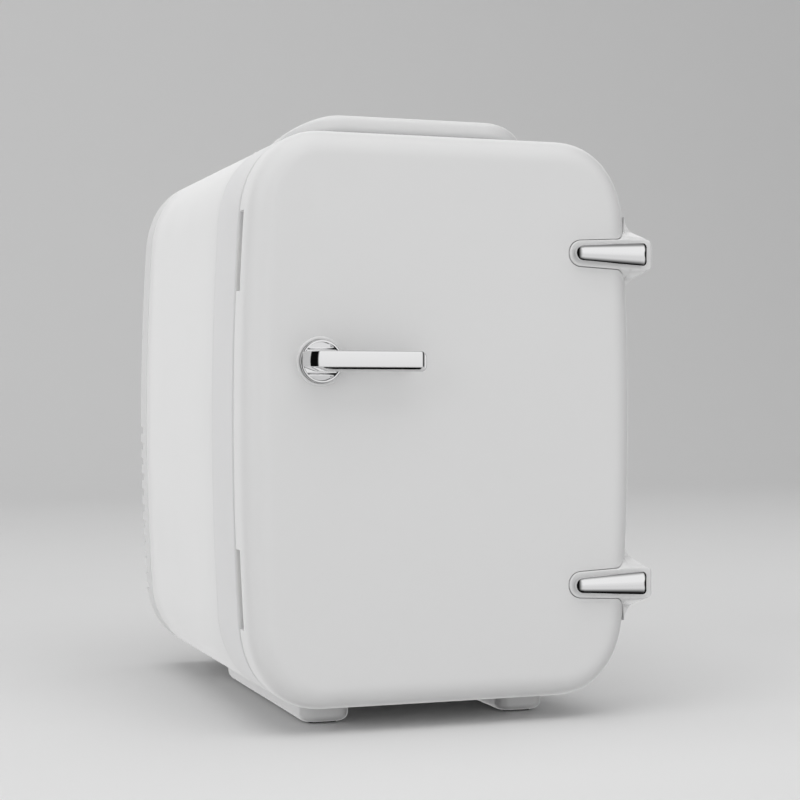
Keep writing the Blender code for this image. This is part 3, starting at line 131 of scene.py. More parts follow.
@dataclass(frozen=True)
class BodyOutline:
    """The body seen from the front: bulged sides, a flat top and wide corners that start softly."""

    corner_radius: float = 34.5 * MM
    side_bulge: float = 2.7 * MM
    corner_pull: float = 1.66
    side_steps: int = 14
    corner_steps: int = 22
    top_steps: int = 8

    def outline(self, inset: float = 0.0) -> Array:
        """The outline in (sideways, rise), moved inwards by an inset.

        The side is half width minus bulge times (rise over corner start) squared, the corner is a cubic Hermite
        curve whose end tangents are corner_pull radii long, and the top is straight.
        """
        half_w = AT.half_width - inset
        half_h = AT.half_height - inset
        radius = self.corner_radius - inset
        corner_z = half_h - radius
        z = np.linspace(0.0, corner_z, self.side_steps, endpoint=False)
        side = np.stack([half_w - self.side_bulge * (z / corner_z) ** 2, z], axis=-1)
        start = np.array([half_w - self.side_bulge, corner_z])
        end = np.array([half_w - radius, half_h])
        lean = np.array([-2.0 * self.side_bulge / corner_z, 1.0])
        start_pull = lean / np.linalg.norm(lean) * self.corner_pull * radius
        end_pull = np.array([-1.0, 0.0]) * self.corner_pull * radius
        s = np.linspace(0.0, 1.0, self.corner_steps, endpoint=False)[:, None]
        corner = ((2 * s**3 - 3 * s**2 + 1) * start + (s**3 - 2 * s**2 + s) * start_pull
                  + (3 * s**2 - 2 * s**3) * end + (s**3 - s**2) * end_pull)
        x = np.linspace(half_w - radius, 0.0, self.top_steps)
        top = np.stack([x, np.full_like(x, half_h)], axis=-1)
        return mirrored_quarters(np.concatenate([side, corner, top]))

    def ring(self, inset: float, depth: float) -> Array:
        """The outline as a placed ring of points at one depth."""
        outline = self.outline(inset)
        return AT.place(np.stack([outline[:, 0], np.full(len(outline), depth), outline[:, 1]], axis=-1))

    def rounded(self, half_u: float, half_v: float, radius: float, depth: float) -> Array:
        """A rounded rectangle's ring with as many points, in the same order, as the body's own ring."""
        side_v = np.linspace(0.0, half_v - radius, self.side_steps, endpoint=False)
        side = np.stack([np.full_like(side_v, half_u), side_v], axis=-1)
        angle = np.linspace(0.0, math.pi / 2, self.corner_steps, endpoint=False)
        corner = np.stack([half_u - radius + radius * np.cos(angle), half_v - radius + radius * np.sin(angle)], -1)
        top_u = np.linspace(half_u - radius, 0.0, self.top_steps)
        top = np.stack([top_u, np.full_like(top_u, half_v)], axis=-1)
        outline = mirrored_quarters(np.concatenate([side, corner, top]))
        return AT.place(np.stack([outline[:, 0], np.full(len(outline), depth), outline[:, 1]], axis=-1))


BODY = BodyOutline()


def quarter_stations(inset: float, depth: float, radius: float, steps: int = 12, inward: float = 1.0,
                     towards_front: bool = True) -> list[tuple[float, float]]:
    """(inset, depth) stations of a quarter round between a side and a face.

    With t from 0 to a right angle, the inset grows by r(1 - cos t) and the depth closes on the face by
    r(1 - sin t).

    Args:
        inset: inset of the side.
        depth: depth of the face.
        radius: radius of the round.
        steps: how many spans.
        inward: 1 for a round whose face lies inside the side, -1 for a hollow one.
        towards_front: True if the face is the front one, so that depths before it come later.
    """
    t = np.linspace(0.0, math.pi / 2, steps + 1)
    sign = 1.0 if towards_front else -1.0
    insets = inset + inward * radius * (1.0 - np.cos(t))
    depths = depth + sign * radius * (1.0 - np.sin(t))
    return list(zip(insets.tolist(), depths.tolist()))


# ================================================================ meshes

@dataclass
class Patch:
    """A closed surface: points, four-cornered faces and many-cornered caps."""

    points: Array
    quads: Array
    caps: list[Array] = field(default_factory=list)

    @classmethod
    def loft(cls, rings: Array, closed_along: bool = False) -> "Patch":
        """Join rings of points, one after another, into a closed surface.

        Args:
            rings: (rings, points in a ring, 3).
            closed_along: True if the last ring joins the first, as in a hoop; otherwise both ends get a cap.

        Returns:
            A patch whose faces point outwards.
        """
        count, around, _ = rings.shape
        first = np.arange(count if closed_along else count - 1)
        i, j = np.meshgrid(first, np.arange(around), indexing="ij")
        i_next = (i + 1) % count
        j_next = (j + 1) % around
        quads = np.stack([i * around + j, i * around + j_next, i_next * around + j_next, i_next * around + j], -1)
        caps = []
        if not closed_along:
            caps = [np.arange(around)[::-1], (count - 1) * around + np.arange(around)]
        return cls(rings.reshape(-1, 3), quads.reshape(-1, 4), caps).outward()

    def volume(self) -> float:
        """Signed volume, as the sum over triangles of a . (b x c) / 6."""
        p = self.points - self.points.mean(axis=0)
        a, b, c, d = (p[self.quads[:, k]] for k in range(4))
        total = np.einsum("ij,ij->", a, np.cross(b, c)) + np.einsum("ij,ij->", a, np.cross(c, d))
        for cap in self.caps:
            corners = p[cap]
            total += np.einsum("ij,ij->", np.broadcast_to(corners[0], corners[1:-1].shape),
                               np.cross(corners[1:-1], corners[2:]))
        return total / 6.0

    def outward(self) -> "Patch":
        """The same patch with its faces turned outwards."""
        if self.volume() >= 0.0:
            return self
        return Patch(self.points, self.quads[:, ::-1], [cap[::-1] for cap in self.caps])

    def moved(self, x: float = 0.0, y: float = 0.0, z: float = 0.0) -> "Patch":
        """The same patch, shifted."""
        return Patch(self.points + np.array([x, y, z]), self.quads, self.caps)


def merged(patches: list[Patch]) -> Patch:
    """Several patches as one."""
    starts = np.cumsum([0] + [len(patch.points) for patch in patches[:-1]])
    quads = [patch.quads + start for patch, start in zip(patches, starts)]
    caps = [cap + start for patch, start in zip(patches, starts) for cap in patch.caps]
    return Patch(np.concatenate([patch.points for patch in patches]), np.concatenate(quads), caps)


def rings_of(stations: list[tuple[float, float]]) -> Array:
    """The body's outline carried along (inset, depth) stations."""
    return np.stack([BODY.ring(inset, depth) for inset, depth in stations])


def prism(outline: Array, low: float, high: float, edge: float = 0.0, steps: int = 4) -> Patch:
    """A (sideways, rise) outline extruded from one depth to another, its front edge rounded.

    Each ring is the outline pulled towards its own inside along the point normals by r(1 - cos t), at the depth
    low + r(1 - sin t).

    Args:
        outline: (k, 2) counter-clockwise points.
        low: front depth.
        high: back depth.
        edge: radius of the front edge.
        steps: spans in the edge's round.
    """
    ahead = np.roll(outline, -1, axis=0) - np.roll(outline, 1, axis=0)
    normal = np.stack([ahead[:, 1], -ahead[:, 0]], axis=-1)
    normal /= np.linalg.norm(normal, axis=-1, keepdims=True)
    t = np.linspace(0.0, math.pi / 2, steps + 1) if edge > 0 else np.zeros(1)
    shrink = edge * (1.0 - np.cos(t))
    depth = low + edge * (1.0 - np.sin(t)) if edge > 0 else np.array([low])
    flat = [np.concatenate([outline, np.full((len(outline), 1), high)], axis=1)]
    for s, d in zip(shrink, depth):
        flat.append(np.concatenate([outline - normal * s, np.full((len(outline), 1), d)], axis=1))
    rings = np.stack(flat)[:, :, [0, 2, 1]]
    return Patch.loft(AT.place(rings))


def arc_points(centre: tuple[float, float], radius: float, start: float, end: float, steps: int) -> Array:
    """Points on an arc, from one angle to another in degrees."""
    angle = np.radians(np.linspace(start, end, steps + 1))
    return np.stack([centre[0] + radius * np.cos(angle), centre[1] + radius * np.sin(angle)], axis=-1)


def rounded_outline(half_u: float, half_v: float, radius: float, steps: int = 8,
                    centre: tuple[float, float] = (0.0, 0.0)) -> Array:
    """A rounded rectangle's outline, counter-clockwise."""
    u, v = half_u - radius, half_v - radius
    corners = [arc_points((centre[0] + su * u, centre[1] + sv * v), radius, start, start + 90.0, steps)
               for su, sv, start in ((1, 1, 0), (-1, 1, 90), (-1, -1, 180), (1, -1, 270))]
    return np.concatenate(corners)


def make_object(name: str, patch: Patch, crease: float = 32.0) -> bpy.types.Object:
    """Put a patch into a mesh object at the origin, smooth except across sharp edges.

    Args:
        name: the object's name.
        patch: what to put in it.
        crease: angle in degrees past which an edge stays sharp.
    """
    mesh = bpy.data.meshes.new(name)
    faces = patch.quads.tolist() + [cap.tolist() for cap in patch.caps]
    mesh.from_pydata(patch.points.tolist(), [], faces)
    mesh.validate()
    mesh.update()
    mesh.shade_smooth()
    mesh.set_sharp_from_angle(angle=math.radians(crease))
    obj = bpy.data.objects.new(name, mesh)
    bpy.context.scene.collection.objects.link(obj)
    return obj


def carve(obj: bpy.types.Object, cutter: Patch, crease: float = 32.0, join: bool = False) -> None:
    """Cut one patch out of an object, or weld it on, and leave a plain mesh behind.

    Args:
        obj: the object to change.
        cutter: the closed surface to take away or add.
        crease: angle in degrees past which an edge stays sharp afterwards.
        join: True to weld the patch on.
    """
    tool = make_object("cutting_tool", cutter)
    modifier = obj.modifiers.new("carve", "BOOLEAN")
    modifier.operation = "UNION" if join else "DIFFERENCE"
    modifier.solver = "EXACT"
    modifier.object = tool
    bpy.context.view_layer.update()
    depsgraph = bpy.context.evaluated_depsgraph_get()
    mesh = bpy.data.meshes.new_from_object(obj.evaluated_get(depsgraph))
    obj.modifiers.remove(modifier)
    obj.data = mesh
    mesh.shade_smooth()
    mesh.set_sharp_from_angle(angle=math.radians(crease))
    bpy.data.objects.remove(tool, do_unlink=True)


def publish(obj: bpy.types.Object, body: str, replaced: tuple[str, ...], look: "Finish") -> None:
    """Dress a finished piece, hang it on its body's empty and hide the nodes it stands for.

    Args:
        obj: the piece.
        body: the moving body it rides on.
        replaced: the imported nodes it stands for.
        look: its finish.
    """
    obj.data.materials.clear()
    obj.data.materials.append(look.material())
    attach(obj, body)
    if replaced:
        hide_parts(*replaced)
    LOG.info("%s: %d faces on %s", obj.name, len(obj.data.polygons), body)


# ================================================================ finishes

class NodeKit:
    """A small helper that places and joins nodes in one tree."""

    def __init__(self, tree: bpy.types.NodeTree) -> None:
        self.tree = tree

    def add(self, kind: str, **values: object) -> bpy.types.Node:
        """Add a node and set its properties."""
        node = self.tree.nodes.new(kind)
        for key, value in values.items():
            setattr(node, key, value)
        return node

    def link(self, source: bpy.types.NodeSocket, target: bpy.types.NodeSocket) -> None:
        """Join two sockets."""
        self.tree.links.new(source, target)

    def noise(self, vector: bpy.types.NodeSocket, scale: bpy.types.NodeSocket | float, detail: float,
              roughness: float = 0.5) -> bpy.types.NodeSocket:
        """A noise value in space."""
        node = self.add("ShaderNodeTexNoise")
        node.inputs["Detail"].default_value = detail
        node.inputs["Roughness"].default_value = roughness
        if isinstance(scale, (int, float)):
            node.inputs["Scale"].default_value = scale
        else:
            self.link(scale, node.inputs["Scale"])
        self.link(vector, node.inputs["Vector"])
        return node.outputs["Fac"]

    def math(self, operation: str, *terms: bpy.types.NodeSocket | float, clamp: bool = False
             ) -> bpy.types.NodeSocket:
        """A math node on sockets or numbers."""
        node = self.add("ShaderNodeMath", operation=operation, use_clamp=clamp)
        for socket, term in zip(node.inputs, terms):
            if isinstance(term, (int, float)):
                socket.default_value = term
            else:
                self.link(term, socket)
        return node.outputs[0]

    def ramp(self, value: bpy.types.NodeSocket, low: float, high: float, to_low: float = 0.0,
             to_high: float = 1.0) -> bpy.types.NodeSocket:
        """Map a value's range onto another, smoothly."""
        node = self.add("ShaderNodeMapRange", interpolation_type="SMOOTHSTEP")
        for name, number in (("From Min", low), ("From Max", high), ("To Min", to_low), ("To Max", to_high)):
            node.inputs[name].default_value = number
        self.link(value, node.inputs["Value"])
        return node.outputs["Result"]


def new_group(name: str, inputs: list[tuple[str, str, float]], outputs: list[tuple[str, str]]
              ) -> bpy.types.NodeTree:
    """Make an empty shader node group with named sockets.

    Args:
        name: the group's name.
        inputs: (name, socket type, default) rows; a vector or colour socket ignores its default.
        outputs: (name, socket type) rows.
    """
    group = bpy.data.node_groups.new(name, "ShaderNodeTree")
    for label, kind, default in inputs:
        socket = group.interface.new_socket(label, in_out="INPUT", socket_type=kind)
        if kind == "NodeSocketFloat":
            socket.default_value = default
    for label, kind in outputs:
        group.interface.new_socket(label, in_out="OUTPUT", socket_type=kind)
    return group


class Effect(Enum):
    """The node groups that several finishes share."""

    TONE = "slow_tone_variation"
    RELIEF = "moulded_skin_relief"
    HANDLING = "handling_marks"

    def group(self) -> bpy.types.NodeTree:
        """The effect's node group, built the first time it is asked for."""
        known = bpy.data.node_groups.get(self.value)
        if known is not None:
            return known
        builders = {Effect.TONE: build_tone_group, Effect.RELIEF: build_relief_group,
                    Effect.HANDLING: build_handling_group}
        return builders[self](self.value)


def build_tone_group(name: str) -> bpy.types.NodeTree:
    """Slow, faint changes of tone: the colour times 1 plus amount times (noise - 0.5)."""
    group = new_group(name, [("Vector", "NodeSocketVector", 0.0), ("Color", "NodeSocketColor", 0.0),
                             ("Scale", "NodeSocketFloat", 12.0), ("Amount", "NodeSocketFloat", 0.03)],
                      [("Color", "NodeSocketColor"), ("Mask", "NodeSocketFloat")])
    kit = NodeKit(group)
    inside = kit.add("NodeGroupInput")
    outside = kit.add("NodeGroupOutput")
    mask = kit.noise(inside.outputs["Vector"], inside.outputs["Scale"], 3.0)
    centred = kit.math("SUBTRACT", mask, 0.5)
    gain = kit.math("MULTIPLY_ADD", centred, inside.outputs["Amount"], 1.0)
    mix = kit.add("ShaderNodeVectorMath", operation="SCALE")
    kit.link(inside.outputs["Color"], mix.inputs[0])
    kit.link(gain, mix.inputs["Scale"])
    kit.link(mix.outputs[0], outside.inputs["Color"])
    kit.link(mask, outside.inputs["Mask"])
    return group


def build_relief_group(name: str) -> bpy.types.NodeTree:
    """The skin of a moulding: a fine grain over a slower ripple, as a normal."""
    group = new_group(name, [("Vector", "NodeSocketVector", 0.0), ("Grain Scale", "NodeSocketFloat", 900.0),
                             ("Grain Depth", "NodeSocketFloat", 0.0), ("Ripple Scale", "NodeSocketFloat", 60.0),
                             ("Ripple Depth", "NodeSocketFloat", 0.0)],
                      [("Normal", "NodeSocketVector"), ("Grain", "NodeSocketFloat")])
    kit = NodeKit(group)
    inside = kit.add("NodeGroupInput")
    outside = kit.add("NodeGroupOutput")
    grain = kit.noise(inside.outputs["Vector"], inside.outputs["Grain Scale"], 2.0, 0.6)
    ripple = kit.noise(inside.outputs["Vector"], inside.outputs["Ripple Scale"], 1.0)
    height = kit.math("ADD", kit.math("MULTIPLY", grain, inside.outputs["Grain Depth"]),
                      kit.math("MULTIPLY", ripple, inside.outputs["Ripple Depth"]))
    bump = kit.add("ShaderNodeBump")
    bump.inputs["Strength"].default_value = 1.0
    bump.inputs["Distance"].default_value = 1.0
    kit.link(height, bump.inputs["Height"])
    kit.link(bump.outputs["Normal"], outside.inputs["Normal"])
    kit.link(grain, outside.inputs["Grain"])
    return group


def build_handling_group(name: str) -> bpy.types.NodeTree:
    """Faint smears and dust: a roughness that rises by amount where a streaky noise is strong."""
    group = new_group(name, [("Vector", "NodeSocketVector", 0.0), ("Roughness", "NodeSocketFloat", 0.3),
                             ("Scale", "NodeSocketFloat", 25.0), ("Amount", "NodeSocketFloat", 0.05)],
                      [("Roughness", "NodeSocketFloat"), ("Mask", "NodeSocketFloat")])
    kit = NodeKit(group)
    inside = kit.add("NodeGroupInput")
    outside = kit.add("NodeGroupOutput")
    broad = kit.noise(inside.outputs["Vector"], inside.outputs["Scale"], 4.0, 0.65)
    mask = kit.ramp(broad, 0.45, 0.72)
    rough = kit.math("MULTIPLY_ADD", mask, inside.outputs["Amount"], inside.outputs["Roughness"])
    kit.link(rough, outside.inputs["Roughness"])
    kit.link(mask, outside.inputs["Mask"])
    return group


@dataclass(frozen=True)
class Finish:
    """A surface finish: tone, gloss and relief, shared by every kind of material."""

    name: str
    colour: tuple[float, float, float] = (0.8, 0.8, 0.8)
    roughness: float = 0.35
    metallic: float = 0.0
    coat: float = 0.0
    coat_roughness: float = 0.1
    specular: float = 0.5
    tone_scale: float = 14.0
    tone_amount: float = 0.02
    marks: float = 0.03
    marks_scale: float = 25.0
    grain_scale: float = 900.0
    grain_depth: float = 2e-6
    ripple_scale: float = 60.0
    ripple_depth: float = 1e-5
    stretch: tuple[float, float, float] = (1.0, 1.0, 1.0)
    transmission: float = 0.0

    def material(self) -> bpy.types.Material:
        """The finish's material, built the first time it is asked for."""
        known = bpy.data.materials.get(self.name)
        if known is not None:
            return known
        material = bpy.data.materials.new(self.name)
        material.use_nodes = True
        kit = NodeKit(material.node_tree)
        shader = material.node_tree.nodes["Principled BSDF"]
        shader.inputs["Metallic"].default_value = self.metallic
        shader.inputs["Coat Weight"].default_value = self.coat
        shader.inputs["Coat Roughness"].default_value = self.coat_roughness
        shader.inputs["Specular IOR Level"].default_value = self.specular
        shader.inputs["Transmission Weight"].default_value = self.transmission
        vector = self.coordinates(kit)
        colour, roughness, normal = self.surface(kit, vector)
        kit.link(colour, shader.inputs["Base Color"])
        kit.link(roughness, shader.inputs["Roughness"])
        kit.link(normal, shader.inputs["Normal"])
        return material

    def coordinates(self, kit: NodeKit) -> bpy.types.NodeSocket:
        """Object coordinates, centred on the body and stretched along the finish's own lay."""
        place = kit.add("ShaderNodeTexCoord")
        mapping = kit.add("ShaderNodeMapping", vector_type="POINT")
        mapping.inputs["Location"].default_value = (-AT.mid_x, -AT.front_y, -AT.mid_z)
        mapping.inputs["Scale"].default_value = self.stretch
        kit.link(place.outputs["Object"], mapping.inputs["Vector"])
        return mapping.outputs["Vector"]

    def base_colour(self, kit: NodeKit, vector: bpy.types.NodeSocket) -> bpy.types.NodeSocket:
        """The colour before the slow tone: one colour, unless a kind of finish draws a pattern."""
        node = kit.add("ShaderNodeRGB")
        node.outputs[0].default_value = (*self.colour, 1.0)
        return node.outputs[0]

    def surface(self, kit: NodeKit, vector: bpy.types.NodeSocket
                ) -> tuple[bpy.types.NodeSocket, bpy.types.NodeSocket, bpy.types.NodeSocket]:
        """The sockets that feed the shader: colour, roughness and normal."""
        tone = kit.add("ShaderNodeGroup", node_tree=Effect.TONE.group())
        tone.inputs["Scale"].default_value = self.tone_scale
        tone.inputs["Amount"].default_value = self.tone_amount
        kit.link(vector, tone.inputs["Vector"])
        kit.link(self.base_colour(kit, vector), tone.inputs["Color"])
        marks = kit.add("ShaderNodeGroup", node_tree=Effect.HANDLING.group())
        marks.inputs["Roughness"].default_value = self.roughness
        marks.inputs["Scale"].default_value = self.marks_scale
        marks.inputs["Amount"].default_value = self.marks
        kit.link(vector, marks.inputs["Vector"])
        relief = kit.add("ShaderNodeGroup", node_tree=Effect.RELIEF.group())
        for label, value in (("Grain Scale", self.grain_scale), ("Grain Depth", self.grain_depth),
                             ("Ripple Scale", self.ripple_scale), ("Ripple Depth", self.ripple_depth)):
            relief.inputs[label].default_value = value
        kit.link(vector, relief.inputs["Vector"])
        return tone.outputs["Color"], marks.outputs["Roughness"], relief.outputs["Normal"]


@dataclass(frozen=True)
class CellFinish(Finish):
    """Rigid foam: closed cells that darken at their walls."""

    cell_scale: float = 700.0
    wall_colour: tuple[float, float, float] = (0.62, 0.57, 0.40)

    def base_colour(self, kit: NodeKit, vector: bpy.types.NodeSocket) -> bpy.types.NodeSocket:
        """Cell walls from the distance to the nearest edge of a Voronoi pattern."""
        cells = kit.add("ShaderNodeTexVoronoi", feature="DISTANCE_TO_EDGE")
        cells.inputs["Scale"].default_value = self.cell_scale
        kit.link(vector, cells.inputs["Vector"])
        mix = kit.add("ShaderNodeMix", data_type="RGBA")
        mix.inputs[6].default_value = (*self.wall_colour, 1.0)
        mix.inputs[7].default_value = (*self.colour, 1.0)
        kit.link(kit.ramp(cells.outputs["Distance"], 0.0, 0.12), mix.inputs[0])
        return mix.outputs[2]


@dataclass(frozen=True)
class BoardFinish(Finish):
    """A circuit board: solder mask over straight copper tracks."""

    track_scale: float = 260.0
    track_colour: tuple[float, float, float] = (0.10, 0.36, 0.18)

    def base_colour(self, kit: NodeKit, vector: bpy.types.NodeSocket) -> bpy.types.NodeSocket:
        """Tracks drawn as the bands of a square-celled Voronoi pattern."""
        cells = kit.add("ShaderNodeTexVoronoi", feature="F1", distance="CHEBYCHEV")
        cells.inputs["Scale"].default_value = self.track_scale
        kit.link(vector, cells.inputs["Vector"])
        mix = kit.add("ShaderNodeMix", data_type="RGBA")
        mix.inputs[6].default_value = (*self.colour, 1.0)
        mix.inputs[7].default_value = (*self.track_colour, 1.0)
        kit.link(kit.ramp(cells.outputs["Distance"], 0.30, 0.36), mix.inputs[0])
        return mix.outputs[2]


GLOSS_WHITE = Finish("gloss_white_moulding", (0.80, 0.80, 0.80), 0.34, coat=0.25, coat_roughness=0.12,
                     tone_amount=0.012, marks=0.03, grain_scale=1400, grain_depth=1.5e-6, ripple_depth=1.2e-5)
DOOR_WHITE = Finish("door_white_moulding", (0.78, 0.78, 0.78), 0.38, coat=0.2, coat_roughness=0.15,
                    tone_amount=0.012, marks=0.03, grain_scale=1400, grain_depth=1.5e-6, ripple_depth=1.0e-5)
FRAME_WHITE = Finish("frame_white_moulding", (0.74, 0.74, 0.745), 0.40, coat=0.15, tone_amount=0.012,
                     grain_scale=1500, grain_depth=2e-6)
COVER_WHITE = Finish("cover_white_grained", (0.76, 0.76, 0.76), 0.46, tone_amount=0.015, grain_scale=2600,
                     grain_depth=1.2e-5, ripple_depth=0.0)
INNER_WHITE = Finish("liner_white_smooth", (0.80, 0.81, 0.82), 0.30, coat=0.2, tone_amount=0.015, marks=0.05)
HINGE_WHITE = Finish("hinge_leaf_white", (0.80, 0.80, 0.80), 0.26, coat=0.4, coat_roughness=0.08,
                     tone_amount=0.01, grain_depth=1e-6)
CHROME = Finish("polished_chrome", (0.86, 0.86, 0.865), 0.045, metallic=1.0, tone_amount=0.01, marks=0.03,
                marks_scale=90, grain_scale=2200, grain_depth=2e-7, ripple_scale=120, ripple_depth=1e-6)
ZINC = Finish("zinc_plated_steel", (0.60, 0.60, 0.58), 0.33, metallic=1.0, tone_scale=120, tone_amount=0.25,
              marks=0.15, marks_scale=140, grain_scale=1600, grain_depth=4e-6)
GROUND_STEEL = Finish("ground_steel_pin", (0.62, 0.62, 0.63), 0.26, metallic=1.0, tone_amount=0.05,
                      grain_scale=2600, grain_depth=4e-6, stretch=(1.0, 1.0, 0.06))
EXTRUDED = Finish("extruded_aluminium", (0.74, 0.75, 0.77), 0.36, metallic=1.0, tone_amount=0.06, marks=0.1,
                  grain_scale=2400, grain_depth=8e-6, stretch=(1.0, 1.0, 0.04))
# Black rubber pads under the feet; their dark line along the feet's lower edge is also a painted contact shadow.
RUBBER_PAD_AND_CONTACT_SHADOW = Finish("pad_black_rubber_and_painted_contact_shadow", (0.045, 0.045, 0.045), 0.72, specular=0.3, tone_scale=60, tone_amount=0.3,
                grain_scale=1800, grain_depth=3e-5)
GASKET = Finish("gasket_soft_grey", (0.46, 0.47, 0.48), 0.55, specular=0.35, tone_amount=0.05, grain_scale=1500,
                grain_depth=1e-5)
BLACK_GRAINED = Finish("black_grained_moulding", (0.028, 0.028, 0.030), 0.48, tone_amount=0.2, marks=0.12,
                       grain_scale=2800, grain_depth=2e-5)
DARK_TAPE = Finish("transformer_tape", (0.07, 0.06, 0.035), 0.42, tone_scale=40, tone_amount=0.4, marks=0.2,
                   grain_scale=400, grain_depth=4e-5, stretch=(0.1, 1.0, 1.0))
SLEEVE = Finish("capacitor_sleeve", (0.02, 0.025, 0.06), 0.3, coat=0.4, tone_amount=0.1, grain_depth=4e-6)
CERAMIC = Finish("alumina_ceramic", (0.84, 0.84, 0.81), 0.5, tone_amount=0.05, grain_scale=3000, grain_depth=8e-6)
FERRITE = Finish("ferrite_magnet", (0.05, 0.05, 0.055), 0.6, tone_amount=0.3, grain_scale=2200, grain_depth=3e-5)
FOAM = CellFinish("rigid_foam", (0.88, 0.83, 0.66), 0.85, tone_scale=30, tone_amount=0.15, grain_scale=900,
                  grain_depth=8e-5)
BOARD = BoardFinish("circuit_board", (0.02, 0.16, 0.07), 0.36, coat=0.3, tone_amount=0.1, grain_depth=8e-6)


# ================================================================ cabinet

@dataclass
class FrontFrame:
    """The band behind the door, with a flat flange round the cavity's mouth."""

    wall: float = 2.4 * MM
    flange: float = 2.5 * MM
    edge: float = 1.2 * MM
    mouth_half: tuple[float, float] = (66.4 * MM, 102.4 * MM)
    mouth_corner: float = 14.3 * MM

    def build(self) -> None:
        """Loft the band as one hoop: outer side, front round, flange, mouth, and back along the inside."""
        front, back = AT.depth_of("front_frame")
        outer = [(0.0, back), (0.0, (front + back) / 2), (0.0, front + 2 * self.edge)]
        outer += quarter_stations(0.0, front, self.edge, 5)
        outer += [(4.0 * MM, front)]
        rings = [BODY.ring(inset, depth) for inset, depth in outer]
        half_u, half_v = self.mouth_half
        for depth in (front, front + self.flange):
            rings.append(BODY.rounded(half_u, half_v, self.mouth_corner, depth))
        rings += [BODY.ring(self.wall, front + self.flange), BODY.ring(self.wall, back)]
        piece = make_object("front_frame_shell", Patch.loft(np.stack(rings), closed_along=True))
        publish(piece, "cabinet", ("front_frame",), FRAME_WHITE)


@dataclass
class Casing:
    """The long band of the body, with lightly broken edges at both seams and slots for the handle's cups."""

    wall: float = 2.4 * MM
    edge: float = 0.35 * MM
    slot_room: float = 0.3 * MM

    def cup_slot(self, side: str) -> Patch:
        """The slot that one of the handle's cups sits in, a little larger than the cup, as a tool."""
        low, high = (np.array(corner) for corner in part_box(f"handle_pivot_{side}"))
        centre = (low + high) / 2
        half = (high - low) / 2 + self.slot_room
        plan = rounded_outline(half[0], half[1], 0.8 * MM, 3, (centre[0], centre[1]))
        heights = np.array([centre[2] - 20 * MM, centre[2] + 20 * MM])
        rings = [np.concatenate([plan, np.full((len(plan), 1), z)], axis=1) for z in heights]
        return Patch.loft(np.stack(rings))

    def build(self) -> None:
        """Loft the band as one hoop: outer side with a small round at each end, then the inner side."""
        front, back = AT.depth_of("casing")
        stations = [(self.wall, front), *quarter_stations(0.0, front, self.edge, 3)[::-1]]
        stations += [(0.0, front + k * (back - front) / 6) for k in range(1, 6)]
        stations += quarter_stations(0.0, back, self.edge, 3, towards_front=False)
        stations += [(self.wall, back)]
        piece = make_object("casing_shell", Patch.loft(rings_of(stations), closed_along=True))
        carve(piece, merged([self.cup_slot("left"), self.cup_slot("right")]))
        publish(piece, "cabinet", ("casing",), GLOSS_WHITE)


